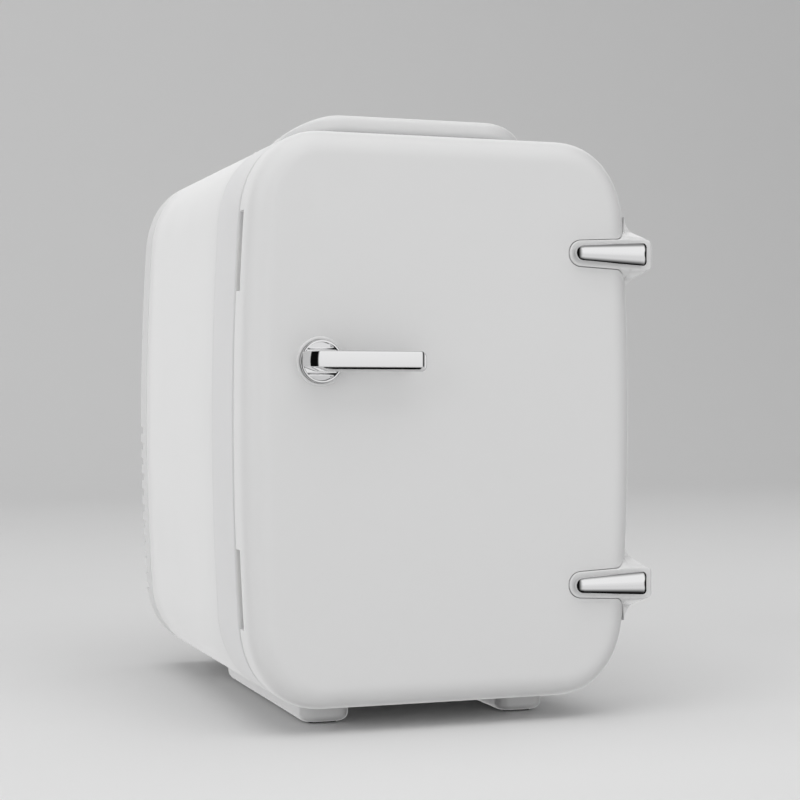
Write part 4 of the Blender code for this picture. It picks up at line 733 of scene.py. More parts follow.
@dataclass
class RearCover:
    """The vented rear cover: a tray with a soft edge, side vents, a round fan grille and three socket windows."""

    wall: float = 2.4 * MM
    edge: float = 9.0 * MM
    vent_pitch: float = 8.0 * MM
    vent_height: float = 3.6 * MM
    vent_count: int = 11
    vent_top: float = -8.0 * MM
    grille_rise: float = -45.0 * MM
    grille_radius: float = 37.0 * MM

    def shell(self, front: float, back: float) -> Patch:
        """The closed tray: inner floor, inner side, rim, outer side, soft edge and outer back."""
        inner = quarter_stations(self.wall, back - self.wall, self.edge - self.wall, 8, towards_front=False)[::-1]
        outer = quarter_stations(0.0, back, self.edge, 14, towards_front=False)
        edge = 0.35 * MM
        rim = [(self.wall, front), (edge, front), (0.0, front + edge), (0.0, (front + back) / 2 - 2 * MM)]
        return Patch.loft(rings_of([*inner, *rim, *outer]))

    def slot(self, x: float, rise: float, half_length: float, front: float, back: float) -> Patch:
        """One level slot with round ends, through the cover from front to back."""
        radius = self.vent_height / 2
        outline = rounded_outline(half_length, radius, radius * 0.98, 5, (x, rise))
        return prism(outline, front, back)

    def slots(self, back: float) -> Patch:
        """Every side vent and every slot of the fan's grille, as one cutting tool."""
        tools = []
        for k in range(self.vent_count):
            rise = self.vent_top - self.vent_pitch * k
            for side in (-1.0, 1.0):
                tools.append(self.slot(side * 82.0 * MM, rise, 18.0 * MM, back - 13.0 * MM, back + 5 * MM))
        for k in range(-4, 5):
            rise = k * self.vent_pitch
            half = math.sqrt(self.grille_radius**2 - rise**2)
            tools.append(self.slot(0.0, self.grille_rise + rise, half, back - 6 * MM, back + 5 * MM))
        return merged(tools)

    def windows(self, back: float) -> Patch:
        """The windows for the inlets and the switch, read from their housings, and the screws' wells."""
        tools = []
        for node, margin in (("ac_inlet", 1.1 * MM), ("dc_inlet", 1.1 * MM), ("switch_housing", 1.1 * MM)):
            low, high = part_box(node)
            centre = ((low[0] + high[0]) / 2 - AT.mid_x, (low[2] + high[2]) / 2 - AT.mid_z)
            half_u = (high[0] - low[0]) / 2 - margin
            half_v = (high[2] - low[2]) / 2 - 1.7 * MM
            tools.append(prism(rounded_outline(half_u, half_v, 1.2 * MM, 4, centre), back - 8 * MM, back + 5 * MM))
        for number in range(1, 5):
            low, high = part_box(f"rear_cover_screw_{number}")
            centre = ((low[0] + high[0]) / 2 - AT.mid_x, (low[2] + high[2]) / 2 - AT.mid_z)
            tools.append(prism(arc_points(centre, 3.4 * MM, 0.0, 348.75, 31), back - 8 * MM, back + 5 * MM))
        return merged(tools)

    def build(self) -> None:
        """Build the tray, cut it, and add the screws' tubes as separate round walls."""
        front, back = AT.depth_of("rear_cover")
        piece = make_object("rear_cover_shell", self.shell(front, back))
        carve(piece, self.slots(back))
        carve(piece, self.windows(back))
        publish(piece, "cabinet", ("rear_cover",), COVER_WHITE)
        tubes = []
        for number in range(1, 5):
            low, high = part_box(f"rear_cover_screw_{number}")
            centre = ((low[0] + high[0]) / 2 - AT.mid_x, (low[2] + high[2]) / 2 - AT.mid_z)
            radii = [3.4 * MM, 3.4 * MM, 4.6 * MM, 4.6 * MM]
            depths = [back - 9.0 * MM, back - 1.4 * MM, back - 1.4 * MM, back - 9.0 * MM]
            rings = []
            for radius, depth in zip(radii, depths):
                circle = arc_points(centre, radius, 0.0, 348.75, 31)
                rings.append(np.stack([circle[:, 0], np.full(len(circle), depth), circle[:, 1]], axis=-1))
            tubes.append(Patch.loft(AT.place(np.stack(rings)), closed_along=True))
        tube = make_object("rear_cover_screw_tubes", merged(tubes))
        publish(tube, "cabinet", (), COVER_WHITE)


@dataclass
class Feet:
    """Two long moulded feet with rounded ends and softly rounded lower edges."""

    lower_edge: float = 3.4 * MM
    corner: float = 6.0 * MM
    heel: float = 7.0 * MM

    def foot(self, label: str) -> Patch:
        """One foot, lofted upwards.

        Each ring is a rounded rectangle pulled in by r(1 - sin t) at the height r(1 - cos t), and its back end
        also slopes in by heel times (1 - height over the foot's height) squared.
        """
        low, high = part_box(f"foot_{label}")
        t = np.linspace(0.0, math.pi / 2, 9)
        heights = np.concatenate([low[2] + self.lower_edge * (1 - np.cos(t)), [high[2]]])
        insets = np.concatenate([self.lower_edge * (1 - np.sin(t)), [0.0]])
        rings = []
        for z, inset in zip(heights, insets):
            half_u = (high[0] - low[0]) / 2 - inset
            half_v = (high[1] - low[1]) / 2 - inset
            outline = rounded_outline(half_u, half_v, max(self.corner - inset * 0.6, 1.0 * MM), 8)
            share = 1.0 - (z - low[2]) / (high[2] - low[2])
            back = smooth_step(outline[:, 1], 0.6 * half_v, half_v)
            outline[:, 1] -= back * self.heel * share**2
            centre = np.array([(low[0] + high[0]) / 2, (low[1] + high[1]) / 2])
            rings.append(np.concatenate([outline + centre, np.full((len(outline), 1), z)], axis=1))
        return Patch.loft(np.stack(rings))

    def build(self) -> None:
        """Both feet."""
        for label in ("left", "right"):
            piece = make_object(f"foot_{label}_moulding", self.foot(label), crease=50.0)
            publish(piece, "cabinet", (f"foot_{label}",), GLOSS_WHITE)


@dataclass
class CarryHandle:
    """The folding handle: two thin arms that sweep up into a broad grip with soft shoulders."""

    arm_x: float = 49.5 * MM
    arm_width: float = 9.0 * MM
    arm_height: float = 3.8 * MM
    grip_width: float = 14.0 * MM
    grip_height: float = 8.0 * MM
    corner: float = 16.0 * MM
    eye_radius: float = 3.6 * MM
    eye_above_floor: float = 3.6 * MM
    bore_radius: float = 2.1 * MM
    widening: float = 26.0 * MM
    climb_power: float = 1.5
    section_power: float = 0.60
    section_points: int = 48

    def path(self) -> tuple[Array, Array, Array, Array]:
        """The centre line from one pivot to the other, with its heading, width and height.

        Each arm is straight and widens on a smooth step, then a quarter circle of the corner's radius leads into
        the grip. Along that quarter the section climbs with the turn's sine raised to climb_power.

        Returns:
            (k, 3) centres, (k,) headings in radians, (k,) widths and (k,) heights.
        """
        low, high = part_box("carry_handle")
        pivot_y = high[1] - self.eye_radius
        grip_y = low[1] + self.grip_width / 2
        arm_low = low[2] + self.eye_above_floor + 0.4 * MM
        grip_low = high[2] - self.grip_height
        straight = np.linspace(pivot_y, grip_y + self.corner, 18, endpoint=False)
        arm = np.stack([np.full_like(straight, self.arm_x), straight], axis=-1)
        turn = np.linspace(0.0, math.pi / 2, 31)
        bend = np.stack([self.arm_x - self.corner + self.corner * np.cos(turn),
                         grip_y + self.corner - self.corner * np.sin(turn)], axis=-1)
        run = np.linspace(self.arm_x - self.corner, 0.0, 9)[1:]
        grip = np.stack([run, np.full_like(run, grip_y)], axis=-1)
        plan = np.concatenate([arm, bend, grip])
        heading = np.concatenate([np.zeros(len(arm)), turn, np.full(len(grip), math.pi / 2)])
        climb = np.sin(heading) ** self.climb_power
        start = grip_y + self.corner
        widen = np.where(heading > 0, 1.0, 1.0 - smooth_step(plan[:, 1], start, start + self.widening))
        width = self.arm_width + (self.grip_width - self.arm_width) * widen
        height = self.arm_height + (self.grip_height - self.arm_height) * climb
        middle = arm_low + (grip_low - arm_low) * climb + height / 2
        mirror = slice(-2, None, -1)
        x = np.concatenate([plan[:, 0], -plan[mirror, 0]]) + AT.mid_x
        centres = np.stack([x, np.concatenate([plan[:, 1], plan[mirror, 1]]),
                            np.concatenate([middle, middle[mirror]])], axis=-1)
        heading = np.concatenate([heading, math.pi - heading[mirror]])
        return centres, heading, np.concatenate([width, width[mirror]]), np.concatenate([height, height[mirror]])

    def bar(self) -> Patch:
        """The handle's bar: a superellipse of the local width and height carried along the path."""
        centres, heading, width, height = self.path()
        angle = np.linspace(0.0, 2 * math.pi, self.section_points, endpoint=False)
        u = np.sign(np.cos(angle)) * np.abs(np.cos(angle)) ** self.section_power
        v = np.sign(np.sin(angle)) * np.abs(np.sin(angle)) ** self.section_power
        across = np.stack([np.cos(heading), -np.sin(heading), np.zeros_like(heading)], axis=-1)
        rings = (centres[:, None, :] + across[:, None, :] * (u[None, :, None] * width[:, None, None] / 2)
                 + np.array([0.0, 0.0, 1.0]) * (v[None, :, None] * height[:, None, None] / 2))
        return Patch.loft(rings)

    def barrel(self, side: float, radius: float, half_length: float, edge: float) -> Patch:
        """A round barrel across one arm at the pivot, with broken edges."""
        low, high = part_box("carry_handle")
        pivot_y = high[1] - self.eye_radius
        pivot_z = low[2] + self.eye_radius
        angle = np.linspace(0.0, 2 * math.pi, 48, endpoint=False)
        rings = []
        for x, r in ((-half_length, radius - edge), (-half_length + edge, radius), (half_length - edge, radius),
                     (half_length, radius - edge)):
            ring = np.stack([np.full_like(angle, AT.mid_x + side * self.arm_x + x), pivot_y + r * np.cos(angle),
                             pivot_z + r * np.sin(angle)], axis=-1)
            rings.append(ring)
        return Patch.loft(np.stack(rings))

    def build(self) -> None:
        """Weld the eyes onto the bar and bore them."""
        piece = make_object("carry_handle_bail", self.bar(), crease=40.0)
        for side in (-1.0, 1.0):
            carve(piece, self.barrel(side, self.eye_radius, self.arm_width / 2, 0.5 * MM), 40.0, join=True)
        for side in (-1.0, 1.0):
            carve(piece, self.barrel(side, self.bore_radius, self.arm_width, 0.0), 40.0)
        publish(piece, "carry_handle", ("carry_handle",), GLOSS_WHITE)


# ================================================================ door

@dataclass
class HingeLeaf:
    """A hinge's leaf in one moulding.

    A tongue lies in the door's front. Past the door's edge it broadens into a flare that falls back in a hollow
    curve on both sides, and a barrel behind its tip turns on the hinge's pin.
    """

    left: float = 55.7 * MM
    right: float = 95.3 * MM
    half_left: float = 5.6 * MM
    half_root: float = 6.45 * MM
    half_right: float = 6.8 * MM
    corner: float = 3.2 * MM
    proud: float = 0.8 * MM
    depth: float = 2.4 * MM
    root_x: float = 78.3 * MM
    crest_x: float = 84.6 * MM
    shoulder_x: float = 92.4 * MM
    flare_half: float = 17.0 * MM
    hollow_power: float = 0.556
    flare_depth: float = 6.0 * MM
    block_back: float = 10.5 * MM
    seat_half: float = 12.0 * MM
    fin_thickness: float = 2.4 * MM
    door_edge: float = 10.7 * MM
    door_side: float = 85.6 * MM
    axis_x: float = 91.0 * MM
    axis_depth: float = 14.0 * MM
    barrel_radius: float = 4.2 * MM
    barrel_half: float = 3.6 * MM
    bore_radius: float = 2.2 * MM

    def half_height(self, x: Array) -> Array:
        """Half the leaf's height at a sideways place.

        A half circle at the left end, a slow taper, a hollow quarter ellipse up to the flare's crest, a hollow
        fall that follows 1 - s^hollow_power, and a round corner at the right end.
        """
        near = np.clip(x - self.left, 0.0, self.half_left)
        cap = np.sqrt(np.clip(self.half_left**2 - (self.half_left - near) ** 2, 0.0, None))
        taper = self.half_left + (self.half_root - self.half_left) * np.clip(
            (x - self.left - self.half_left) / (self.root_x - self.left - self.half_left), 0.0, 1.0)
        rise = np.clip((x - self.root_x) / (self.crest_x - self.root_x), 0.0, 1.0)
        climb = (self.flare_half - self.half_root) * (1.0 - np.sqrt(1.0 - rise**2))
        fall = np.clip((x - self.crest_x) / (self.shoulder_x - self.crest_x), 0.0, 1.0)
        hollow = self.half_right + (self.flare_half - self.half_right) * (1.0 - fall**self.hollow_power)
        over = np.clip(x - (self.right - self.corner), 0.0, self.corner)
        tip = self.corner - np.sqrt(np.clip(self.corner**2 - over**2, 0.0, None))
        inner = np.where(x < self.left + self.half_left, cap, taper + climb)
        return np.where(x <= self.crest_x, inner, hollow - tip)

    def door_surface(self, x: Array) -> Array:
        """Depth of the door's rounded front edge at a sideways place."""
        past = np.clip(x - (self.door_side - self.door_edge), 0.0, self.door_edge * 0.995)
        return self.door_edge - np.sqrt(self.door_edge**2 - past**2)

    def front(self, x: Array, rise: Array) -> Array:
        """Depth of the leaf's front face: the tongue's level, easing into the door's own surface and the flare.

        The tongue's level rounds off over its last two millimetres, and its edge is a small round.
        """
        over = np.clip(x - (self.right - 2.0 * MM), 0.0, 2.0 * MM)
        level = -self.proud + 2.0 * MM - np.sqrt(np.clip((2.0 * MM) ** 2 - over**2, 0.0, None))
        flare = np.where(x <= self.crest_x, np.minimum(self.door_surface(x), self.flare_depth),
                         self.flare_depth + 0.22 * (x - self.crest_x)) - 0.12 * MM
        spread = 0.45 * MM + 4.6 * MM * smooth_step(x, self.root_x, self.crest_x + 1.0 * MM)
        plateau = np.minimum(self.half_height(x), self.half_right) - 0.5 * MM
        away = smooth_step(np.abs(rise), plateau, plateau + spread)
        edge = np.clip(np.abs(rise) - (self.half_height(x) - 0.5 * MM), 0.0, 0.5 * MM)
        rounding = 0.5 * MM - np.sqrt(np.clip((0.5 * MM) ** 2 - edge**2, 0.0, None))
        at_flare = smooth_step(x, self.root_x - 1.0 * MM, self.root_x + 3.0 * MM)
        return level + (flare - level) * away * at_flare + rounding

    def stations(self) -> Array:
        """Sideways places of the loft's rings, close together at both ends and at the flare's crest."""
        t = np.linspace(0.0, math.pi / 2, 19)
        s = np.linspace(0.0, 1.0, 25)[1:]
        cap = self.left + self.half_left * (1 - np.cos(t))
        cap[0] = self.left + 0.02 * MM
        taper = np.linspace(self.left + self.half_left, self.root_x, 8)[1:]
        climb = self.root_x + (self.crest_x - self.root_x) * (1 - (1 - s) ** 2)
        fall = self.crest_x + (self.shoulder_x - self.crest_x) * s**2.2
        tip = self.right - self.corner * (1 - np.sin(t[1:]))
        tip[-1] = self.right - 0.02 * MM
        return np.unique(np.round(np.concatenate([cap, taper, climb, fall, tip]), 7))

    def shell(self, middle: float) -> Patch:
        """The leaf lofted from left to right; each ring goes up its front face and down its back."""
        x = self.stations()
        half = self.half_height(x)
        u = np.sin(np.linspace(-math.pi / 2, math.pi / 2, 57))
        rise = half[:, None] * u[None, :]
        across = np.broadcast_to(x[:, None], rise.shape)
        front = self.front(across, rise)
        behind_tongue = np.full_like(front, self.depth)
        behind_fin = front + self.fin_thickness
        block = smooth_step(across, self.root_x + 0.5 * MM, self.root_x + 1.5 * MM)
        back = behind_tongue + (self.block_back - behind_tongue) * block
        out = smooth_step(across, self.crest_x + 2.0 * MM, self.crest_x + 2.4 * MM)
        back = np.maximum(back + (behind_fin - back) * out, front + 0.3 * MM)
        ring_x = np.concatenate([across, across[:, ::-1]], axis=1)
        ring_y = np.concatenate([front, back[:, ::-1]], axis=1)
        ring_z = np.concatenate([rise, rise[:, ::-1]], axis=1) + middle
        return Patch.loft(AT.place(np.stack([ring_x, ring_y, ring_z], axis=-1)))

    def barrel(self, middle: float) -> list[Patch]:
        """The bored barrel as a hoop of four rings, and the root that joins it to the flare."""
        angle = np.linspace(0.0, 2 * math.pi, 64, endpoint=False)
        edge = 0.4 * MM
        rings = []
        for radius, z in ((self.bore_radius, -self.barrel_half), (self.barrel_radius - edge, -self.barrel_half),
                          (self.barrel_radius, -self.barrel_half + edge),
                          (self.barrel_radius, self.barrel_half - edge),
                          (self.barrel_radius - edge, self.barrel_half), (self.bore_radius, self.barrel_half)):
            rings.append(np.stack([self.axis_x + radius * np.cos(angle), self.axis_depth + radius * np.sin(angle),
                                   np.full_like(angle, middle + z)], axis=-1))
        hoop = Patch.loft(AT.place(np.stack(rings)), closed_along=True)
        near = self.axis_x - self.barrel_radius * 0.98
        far = self.axis_x + self.barrel_radius * 0.98
        plan = np.array([[near, 3.0 * MM], [far - 1.6 * MM, 3.0 * MM], [far, self.axis_depth - 1.0 * MM],
                         [far - 0.3 * MM, self.axis_depth], [self.axis_x + self.bore_radius, self.axis_depth],
                         [self.axis_x, self.axis_depth - self.bore_radius],
                         [self.axis_x - self.bore_radius, self.axis_depth], [near + 0.3 * MM, self.axis_depth],
                         [near, self.axis_depth - 1.0 * MM]])
        levels = (middle - self.barrel_half + 0.1 * MM, middle + self.barrel_half - 0.1 * MM)
        root = [np.concatenate([plan, np.full((len(plan), 1), z)], axis=1) for z in levels]
        return [hoop, Patch.loft(AT.place(np.stack(root)))]

    def seat(self, middle: float, room: float) -> list[Patch]:
        """The seat in the door: a shallow pocket for the tongue and a deep one for the block behind the flare."""
        x = self.stations()
        x = x[x <= self.crest_x]
        half = np.minimum(self.half_height(x) + room, self.seat_half)
        x = x - room * (1.0 - smooth_step(x, self.left, self.left + self.half_left))
        upper = np.stack([x, half + middle], axis=-1)[::-1]
        lower = np.stack([x, middle - half], axis=-1)
        beyond = 110.0 * MM
        edge = np.array([[beyond, middle - self.seat_half], [beyond, middle + self.seat_half]])
        outline = np.concatenate([lower, edge, upper])
        keep = x > self.root_x + 0.2 * MM
        deep = np.concatenate([lower[keep], edge, upper[keep[::-1]]])
        return [prism(outline, -10 * MM, self.depth + room), prism(deep, -10 * MM, self.block_back + room)]

    def build(self, label: str, rise: float) -> None:
        """One leaf."""
        piece = make_object(f"hinge_leaf_{label}_moulding", merged([self.shell(rise), *self.barrel(rise)]),
                            crease=50.0)
        publish(piece, "door", (f"hinge_leaf_{label}",), HINGE_WHITE)


@dataclass
class HingeBar:
    """The polished bar on a hinge's leaf: a tapered crowned bar, round on the left and square-cut on the right."""

    left: float = 57.5 * MM
    right: float = 91.3 * MM
    half_left: float = 3.5 * MM
    half_right: float = 5.1 * MM
    corner: float = 1.9 * MM
    base: float = -0.82 * MM
    proud: float = 4.0 * MM
    crown_tilt: float = 44.0
    core: float = 0.86

    def outline(self) -> tuple[Array, Array]:
        """The bar's outline round its middle line, and the point of that line which each outline point leans on.

        Returns:
            (k, 2) outline points and (k, 2) middle points, as (sideways, rise from the hinge's middle).
        """
        end = self.left + self.half_left
        left = arc_points((end, 0.0), self.half_left, 90.0, 270.0, 32)
        u, v = self.right - self.corner, self.half_right - self.corner
        lower = arc_points((u, -v), self.corner, -90.0, 0.0, 8)
        upper = arc_points((u, v), self.corner, 0.0, 90.0, 8)
        share = np.linspace(0.0, 1.0, 14)[1:-1, None]
        under = left[-1] + (lower[0] - left[-1]) * share
        over = upper[-1] + (left[0] - upper[-1]) * share
        side = np.stack([np.full(5, self.right), np.linspace(-v, v, 7)[1:-1]], axis=-1)
        points = np.concatenate([left, under, lower, side, upper, over])
        inner = self.right - self.half_right * 0.55
        middle = np.stack([np.clip(points[:, 0], end, inner), np.zeros(len(points))], axis=-1)
        return points, middle

    def profile(self) -> tuple[Array, Array]:
        """How far out, from 0 to 1, and how deep, in half heights, the crown goes from its ridge to its edge.

        The core is a circle's arc whose tilt reaches crown_tilt at the edge, and the rest is a small round.
        """
        tilt = math.sin(math.radians(self.crown_tilt))
        out = np.linspace(0.10, self.core, 15)
        sag = (1 - np.sqrt(1 - (out * tilt) ** 2)) / tilt
        t = np.linspace(0.0, math.pi / 2, 7)[1:]
        rest = 1.0 - self.core
        out = np.concatenate([out, self.core + rest * np.sin(t)])
        sag = np.concatenate([sag, sag[-1] + rest * (0.62 * np.sin(t) + 0.9 * (1 - np.cos(t)))])
        return out, sag

    def patch(self, rise: float) -> Patch:
        """The bar, lofted from its ridge out to its edge and down to the leaf."""
        points, middle = self.outline()
        out, sag = self.profile()
        half = self.half_left + (self.half_right - self.half_left) * (points[:, 0] - self.left) / (
            self.right - self.left)
        rings = []
        for share, drop in zip(out, sag):
            place = middle + (points - middle) * share
            depth = self.base - self.proud + drop * half
            rings.append(np.stack([place[:, 0], depth, place[:, 1] + rise], axis=-1))
        rings.append(np.stack([points[:, 0], np.full(len(points), self.base), points[:, 1] + rise], axis=-1))
        return Patch.loft(AT.place(np.stack(rings)))

    def build(self, label: str, rise: float) -> None:
        """One bar."""
        piece = make_object(f"hinge_bar_{label}", self.patch(rise), crease=60.0)
        publish(piece, "door", (f"hinge_trim_{label}",), CHROME)


@dataclass
class Door:
    """The door: its front panel, and both hinges' visible pieces."""

    wall: float = 2.6 * MM
    front_wall: float = 5.6 * MM
    edge: float = 10.7 * MM
    hinge_rise: float = 71.4 * MM
    notch_front: float = 13.3 * MM
    notch_reach: float = 82.6 * MM
    notch_span: tuple[float, float] = (53.4 * MM, 86.7 * MM)
    leaf: HingeLeaf = field(default_factory=HingeLeaf)
    bar: HingeBar = field(default_factory=HingeBar)

    def shell(self) -> Patch:
        """The panel as a closed shell: inside, rim, outer side, rounded edge and flat front."""
        _, back = AT.depth_of("door_panel")
        lip = 0.5 * MM
        stations = [(self.wall + 3.0 * MM, self.front_wall), (self.wall, self.front_wall + 2.0 * MM),
                    (self.wall, back - lip), (self.wall - lip, back)]
        stations += quarter_stations(0.0, back, lip, 3, towards_front=False)[::-1]
        stations += [(0.0, back - 4.0 * MM), (0.0, (back + self.edge) / 2)]
        stations += quarter_stations(0.0, 0.0, self.edge, 20)
        stations += [(self.edge + 1.5 * MM, 0.0), (self.edge + 8.0 * MM, 0.0)]
        return Patch.loft(rings_of(stations))

    def notch(self, side: float, rise: float) -> Patch:
        """The cut in the door's rear rim at one hinge place, with round corners."""
        low, high = self.notch_span
        half = (high - low) / 2
        middle = math.copysign((low + high) / 2, rise)
        _, back = AT.depth_of("door_panel")
        outline = rounded_outline(8.0 * MM, half, 1.2 * MM, 4, (side * (self.notch_reach + 8.0 * MM), middle))
        return prism(outline, self.notch_front, back + 10 * MM)

    def build(self) -> None:
        """Cut the panel and add the hinges."""
        panel = make_object("door_panel_shell", self.shell())
        rises = (self.hinge_rise, -self.hinge_rise)
        for rise in rises:
            pocket, deep = self.leaf.seat(rise, 0.3 * MM)
            carve(panel, pocket)
            carve(panel, deep)
        carve(panel, merged([self.notch(side, rise) for rise in rises for side in (-1.0, 1.0)]))
        publish(panel, "door", ("door_panel",), DOOR_WHITE)
        for label, rise in (("upper", self.hinge_rise), ("lower", -self.hinge_rise)):
            self.leaf.build(label, rise)
            self.bar.build(label, rise)


@dataclass
class LatchLever:
    """The polished lever and the rosette that it turns on."""

    hub_x: float = -55.8 * MM
    rise: float = 24.2 * MM
    left: float = -64.4 * MM
    right: float = -13.3 * MM
    front: float = -13.5 * MM
    bar_back: float = -9.3 * MM
    foot: float = -2.6 * MM
    half_height: float = 4.25 * MM
    rosette_radius: float = 9.0 * MM
    knee: float = 4.2 * MM
    inner_left: float = -50.6 * MM
    inner_knee: float = 4.0 * MM
    roll: float = 2.8 * MM
    roll_share: float = 0.66
    end_shrink: float = 1.5 * MM
    lip: float = 0.95 * MM
    lip_half: float = 4.5 * MM
    lip_corner: float = 2.7 * MM
    lip_setback: float = 2.5 * MM
    edge: float = 0.45 * MM
    crown: float = 0.16 * MM
    under_bevel: float = 2.0 * MM

    def section(self) -> Array:
        """The bar's section as (depth, height) shares, from 0 at the front to 1 at the back and -1 to 1 upwards.

        The face is crowned, its upper edge is a small round, and a wide bevel runs along its lower edge.
        """
        deep = self.bar_back - self.front
        v = np.linspace(-1.0 + self.under_bevel / self.half_height, 1.0 - self.edge / self.half_height, 13)
        face = np.stack([self.crown / deep * v**2, v], axis=-1)
        t = np.linspace(0.0, math.pi / 2, 6)[1:]
        over = np.stack([(self.crown + self.edge * (1 - np.cos(t))) / deep,
                         face[-1, 1] + self.edge * np.sin(t) / self.half_height], axis=-1)
        back = np.array([[0.92, 1.0], [1.0, 0.94], [1.0, 0.0], [1.0, -0.94], [0.92, -1.0], [0.62, -1.0]])
        bevel = np.array([[0.50, -0.985], [0.42, -0.95], [0.13, -0.60], [0.07, -0.545]])
        return np.concatenate([face, over, back, bevel])

    def lever(self) -> Patch:
        """The lever, lofted between an outer and an inner curve that share one parameter.

        The outer curve is a quarter ellipse from the foot's left to the bar's front, then straight, and it rolls
        off before the lip; the inner one is a tighter quarter ellipse, then straight. Each section hangs between
        the two, and its height shrinks as the end rolls off.
        """
        t = np.linspace(0.0, math.pi / 2, 30)
        rise_y = self.foot - self.front
        outer_knee = np.stack([self.left + self.knee * (1 - np.cos(t)), self.foot - rise_y * np.sin(t)], axis=-1)
        inner_knee = np.stack([self.inner_left + self.inner_knee * (1 - np.cos(t)),
                               self.foot - (self.foot - self.bar_back) * np.sin(t)], axis=-1)
        end = self.right - self.lip
        roll_start = end - self.roll
        run = np.linspace(0.0, 1.0, 16)[1:]
        outer_run = np.stack([outer_knee[-1, 0] + (roll_start - outer_knee[-1, 0]) * run,
                              np.full_like(run, self.front)], axis=-1)
        inner_run = np.stack([inner_knee[-1, 0] + (roll_start - inner_knee[-1, 0]) * run,
                              np.full_like(run, self.bar_back)], axis=-1)
        u = np.linspace(0.0, math.pi / 2, 12)[1:]
        drop = (self.bar_back - self.front) * self.roll_share
        across = roll_start + self.roll * np.sin(u)
        outer_end = np.stack([across, self.front + drop * (1 - np.cos(u))], axis=-1)
        inner_end = np.stack([across, np.full_like(u, self.bar_back)], axis=-1)
        outer = np.concatenate([outer_knee, outer_run, outer_end])
        inner = np.concatenate([inner_knee, inner_run, inner_end])
        shrink = np.concatenate([np.zeros(len(outer) - len(u)), 1 - np.cos(u)])
        half = self.half_height - self.end_shrink * shrink
        section = self.section()
        plan = outer[:, None, :] + (inner - outer)[:, None, :] * section[None, :, :1]
        z = self.rise + half[:, None] * section[None, :, 1]
        return Patch.loft(AT.place(np.concatenate([plan, z[:, :, None]], axis=-1)))

    def lip_plate(self) -> Patch:
        """The thin rim that stands out round the lever's free end."""
        outline = rounded_outline(self.lip_half, self.half_height - 0.03 * MM, self.lip_corner, 10,
                                  (self.right - self.lip_half, self.rise))
        front, back = self.front + self.lip_setback, self.bar_back - 0.02 * MM
        return prism(outline, front, back, edge=self.edge, steps=5)

    def rosette(self) -> Patch:
        """The rosette's face as a height over rings and angles.

        A raised rim, a level block behind the lever and a hollow segment above and below it: height is the
        floor, plus the block's step in |rise|, plus the rim's step in radius.
        """
        radius = np.concatenate([np.linspace(0.15, 0.86, 26), np.linspace(0.88, 1.0, 12)]) * self.rosette_radius
        angle = np.linspace(0.0, 2 * math.pi, 144, endpoint=False)
        r, a = np.meshgrid(radius, angle, indexing="ij")
        high = np.abs(r * np.sin(a))
        block = 1.0 - smooth_step(high, 4.75 * MM, 5.5 * MM)
        hollow = 0.55 * MM * (1.0 - smooth_step(high, 5.4 * MM, 8.2 * MM))
        rim = smooth_step(r, 7.75 * MM, 8.1 * MM)
        height = 1.25 * MM - hollow + 1.1 * MM * block
        height = height * (1 - rim) + 2.5 * MM * rim
        over = np.clip((r - 8.45 * MM) / (0.55 * MM), 0.0, 1.0)
        height = height - 0.55 * MM * (1 - np.sqrt(1 - over**2))
        face = np.stack([self.hub_x + r * np.cos(a), -height, self.rise + r * np.sin(a)], axis=-1)
        base = face[-1:].copy()
        base[..., 1] = -0.3 * MM
        return Patch.loft(AT.place(np.concatenate([face, base])))

    def seat_ring(self) -> Patch:
        """The pale moulded ring round the rosette's foot: a quarter-round bead."""
        t = np.linspace(0.0, math.pi / 2, 6)
        radius = np.concatenate([[9.15 * MM], 9.55 * MM + 0.75 * MM * np.sin(t)])
        depth = np.concatenate([[-0.55 * MM], -0.05 * MM - 0.5 * MM * np.cos(t)])
        radius = np.append(radius, 9.15 * MM)
        depth = np.append(depth, -0.05 * MM)
        angle = np.linspace(0.0, 2 * math.pi, 96, endpoint=False)
        across = self.hub_x + radius[:, None] * np.cos(angle)
        up = self.rise + radius[:, None] * np.sin(angle)
        rings = np.stack([across, np.broadcast_to(depth[:, None], up.shape), up], axis=-1)
        return Patch.loft(AT.place(rings), closed_along=True)

    def build(self) -> None:
        """The lever on its own body; the rosette and its seat ring on the door."""
        lever = make_object("lever_handle_bar", merged([self.lever(), self.lip_plate()]), crease=40.0)
        publish(lever, "latch_lever", ("lever_handle",), CHROME)
        rosette = make_object("handle_rosette_disc", self.rosette(), crease=50.0)
        publish(rosette, "door", ("handle_rosette",), CHROME)
        ring = make_object("rosette_seat_ring", self.seat_ring(), crease=50.0)
        publish(ring, "door", (), HINGE_WHITE)


# ================================================================ carried-over pieces and the studio

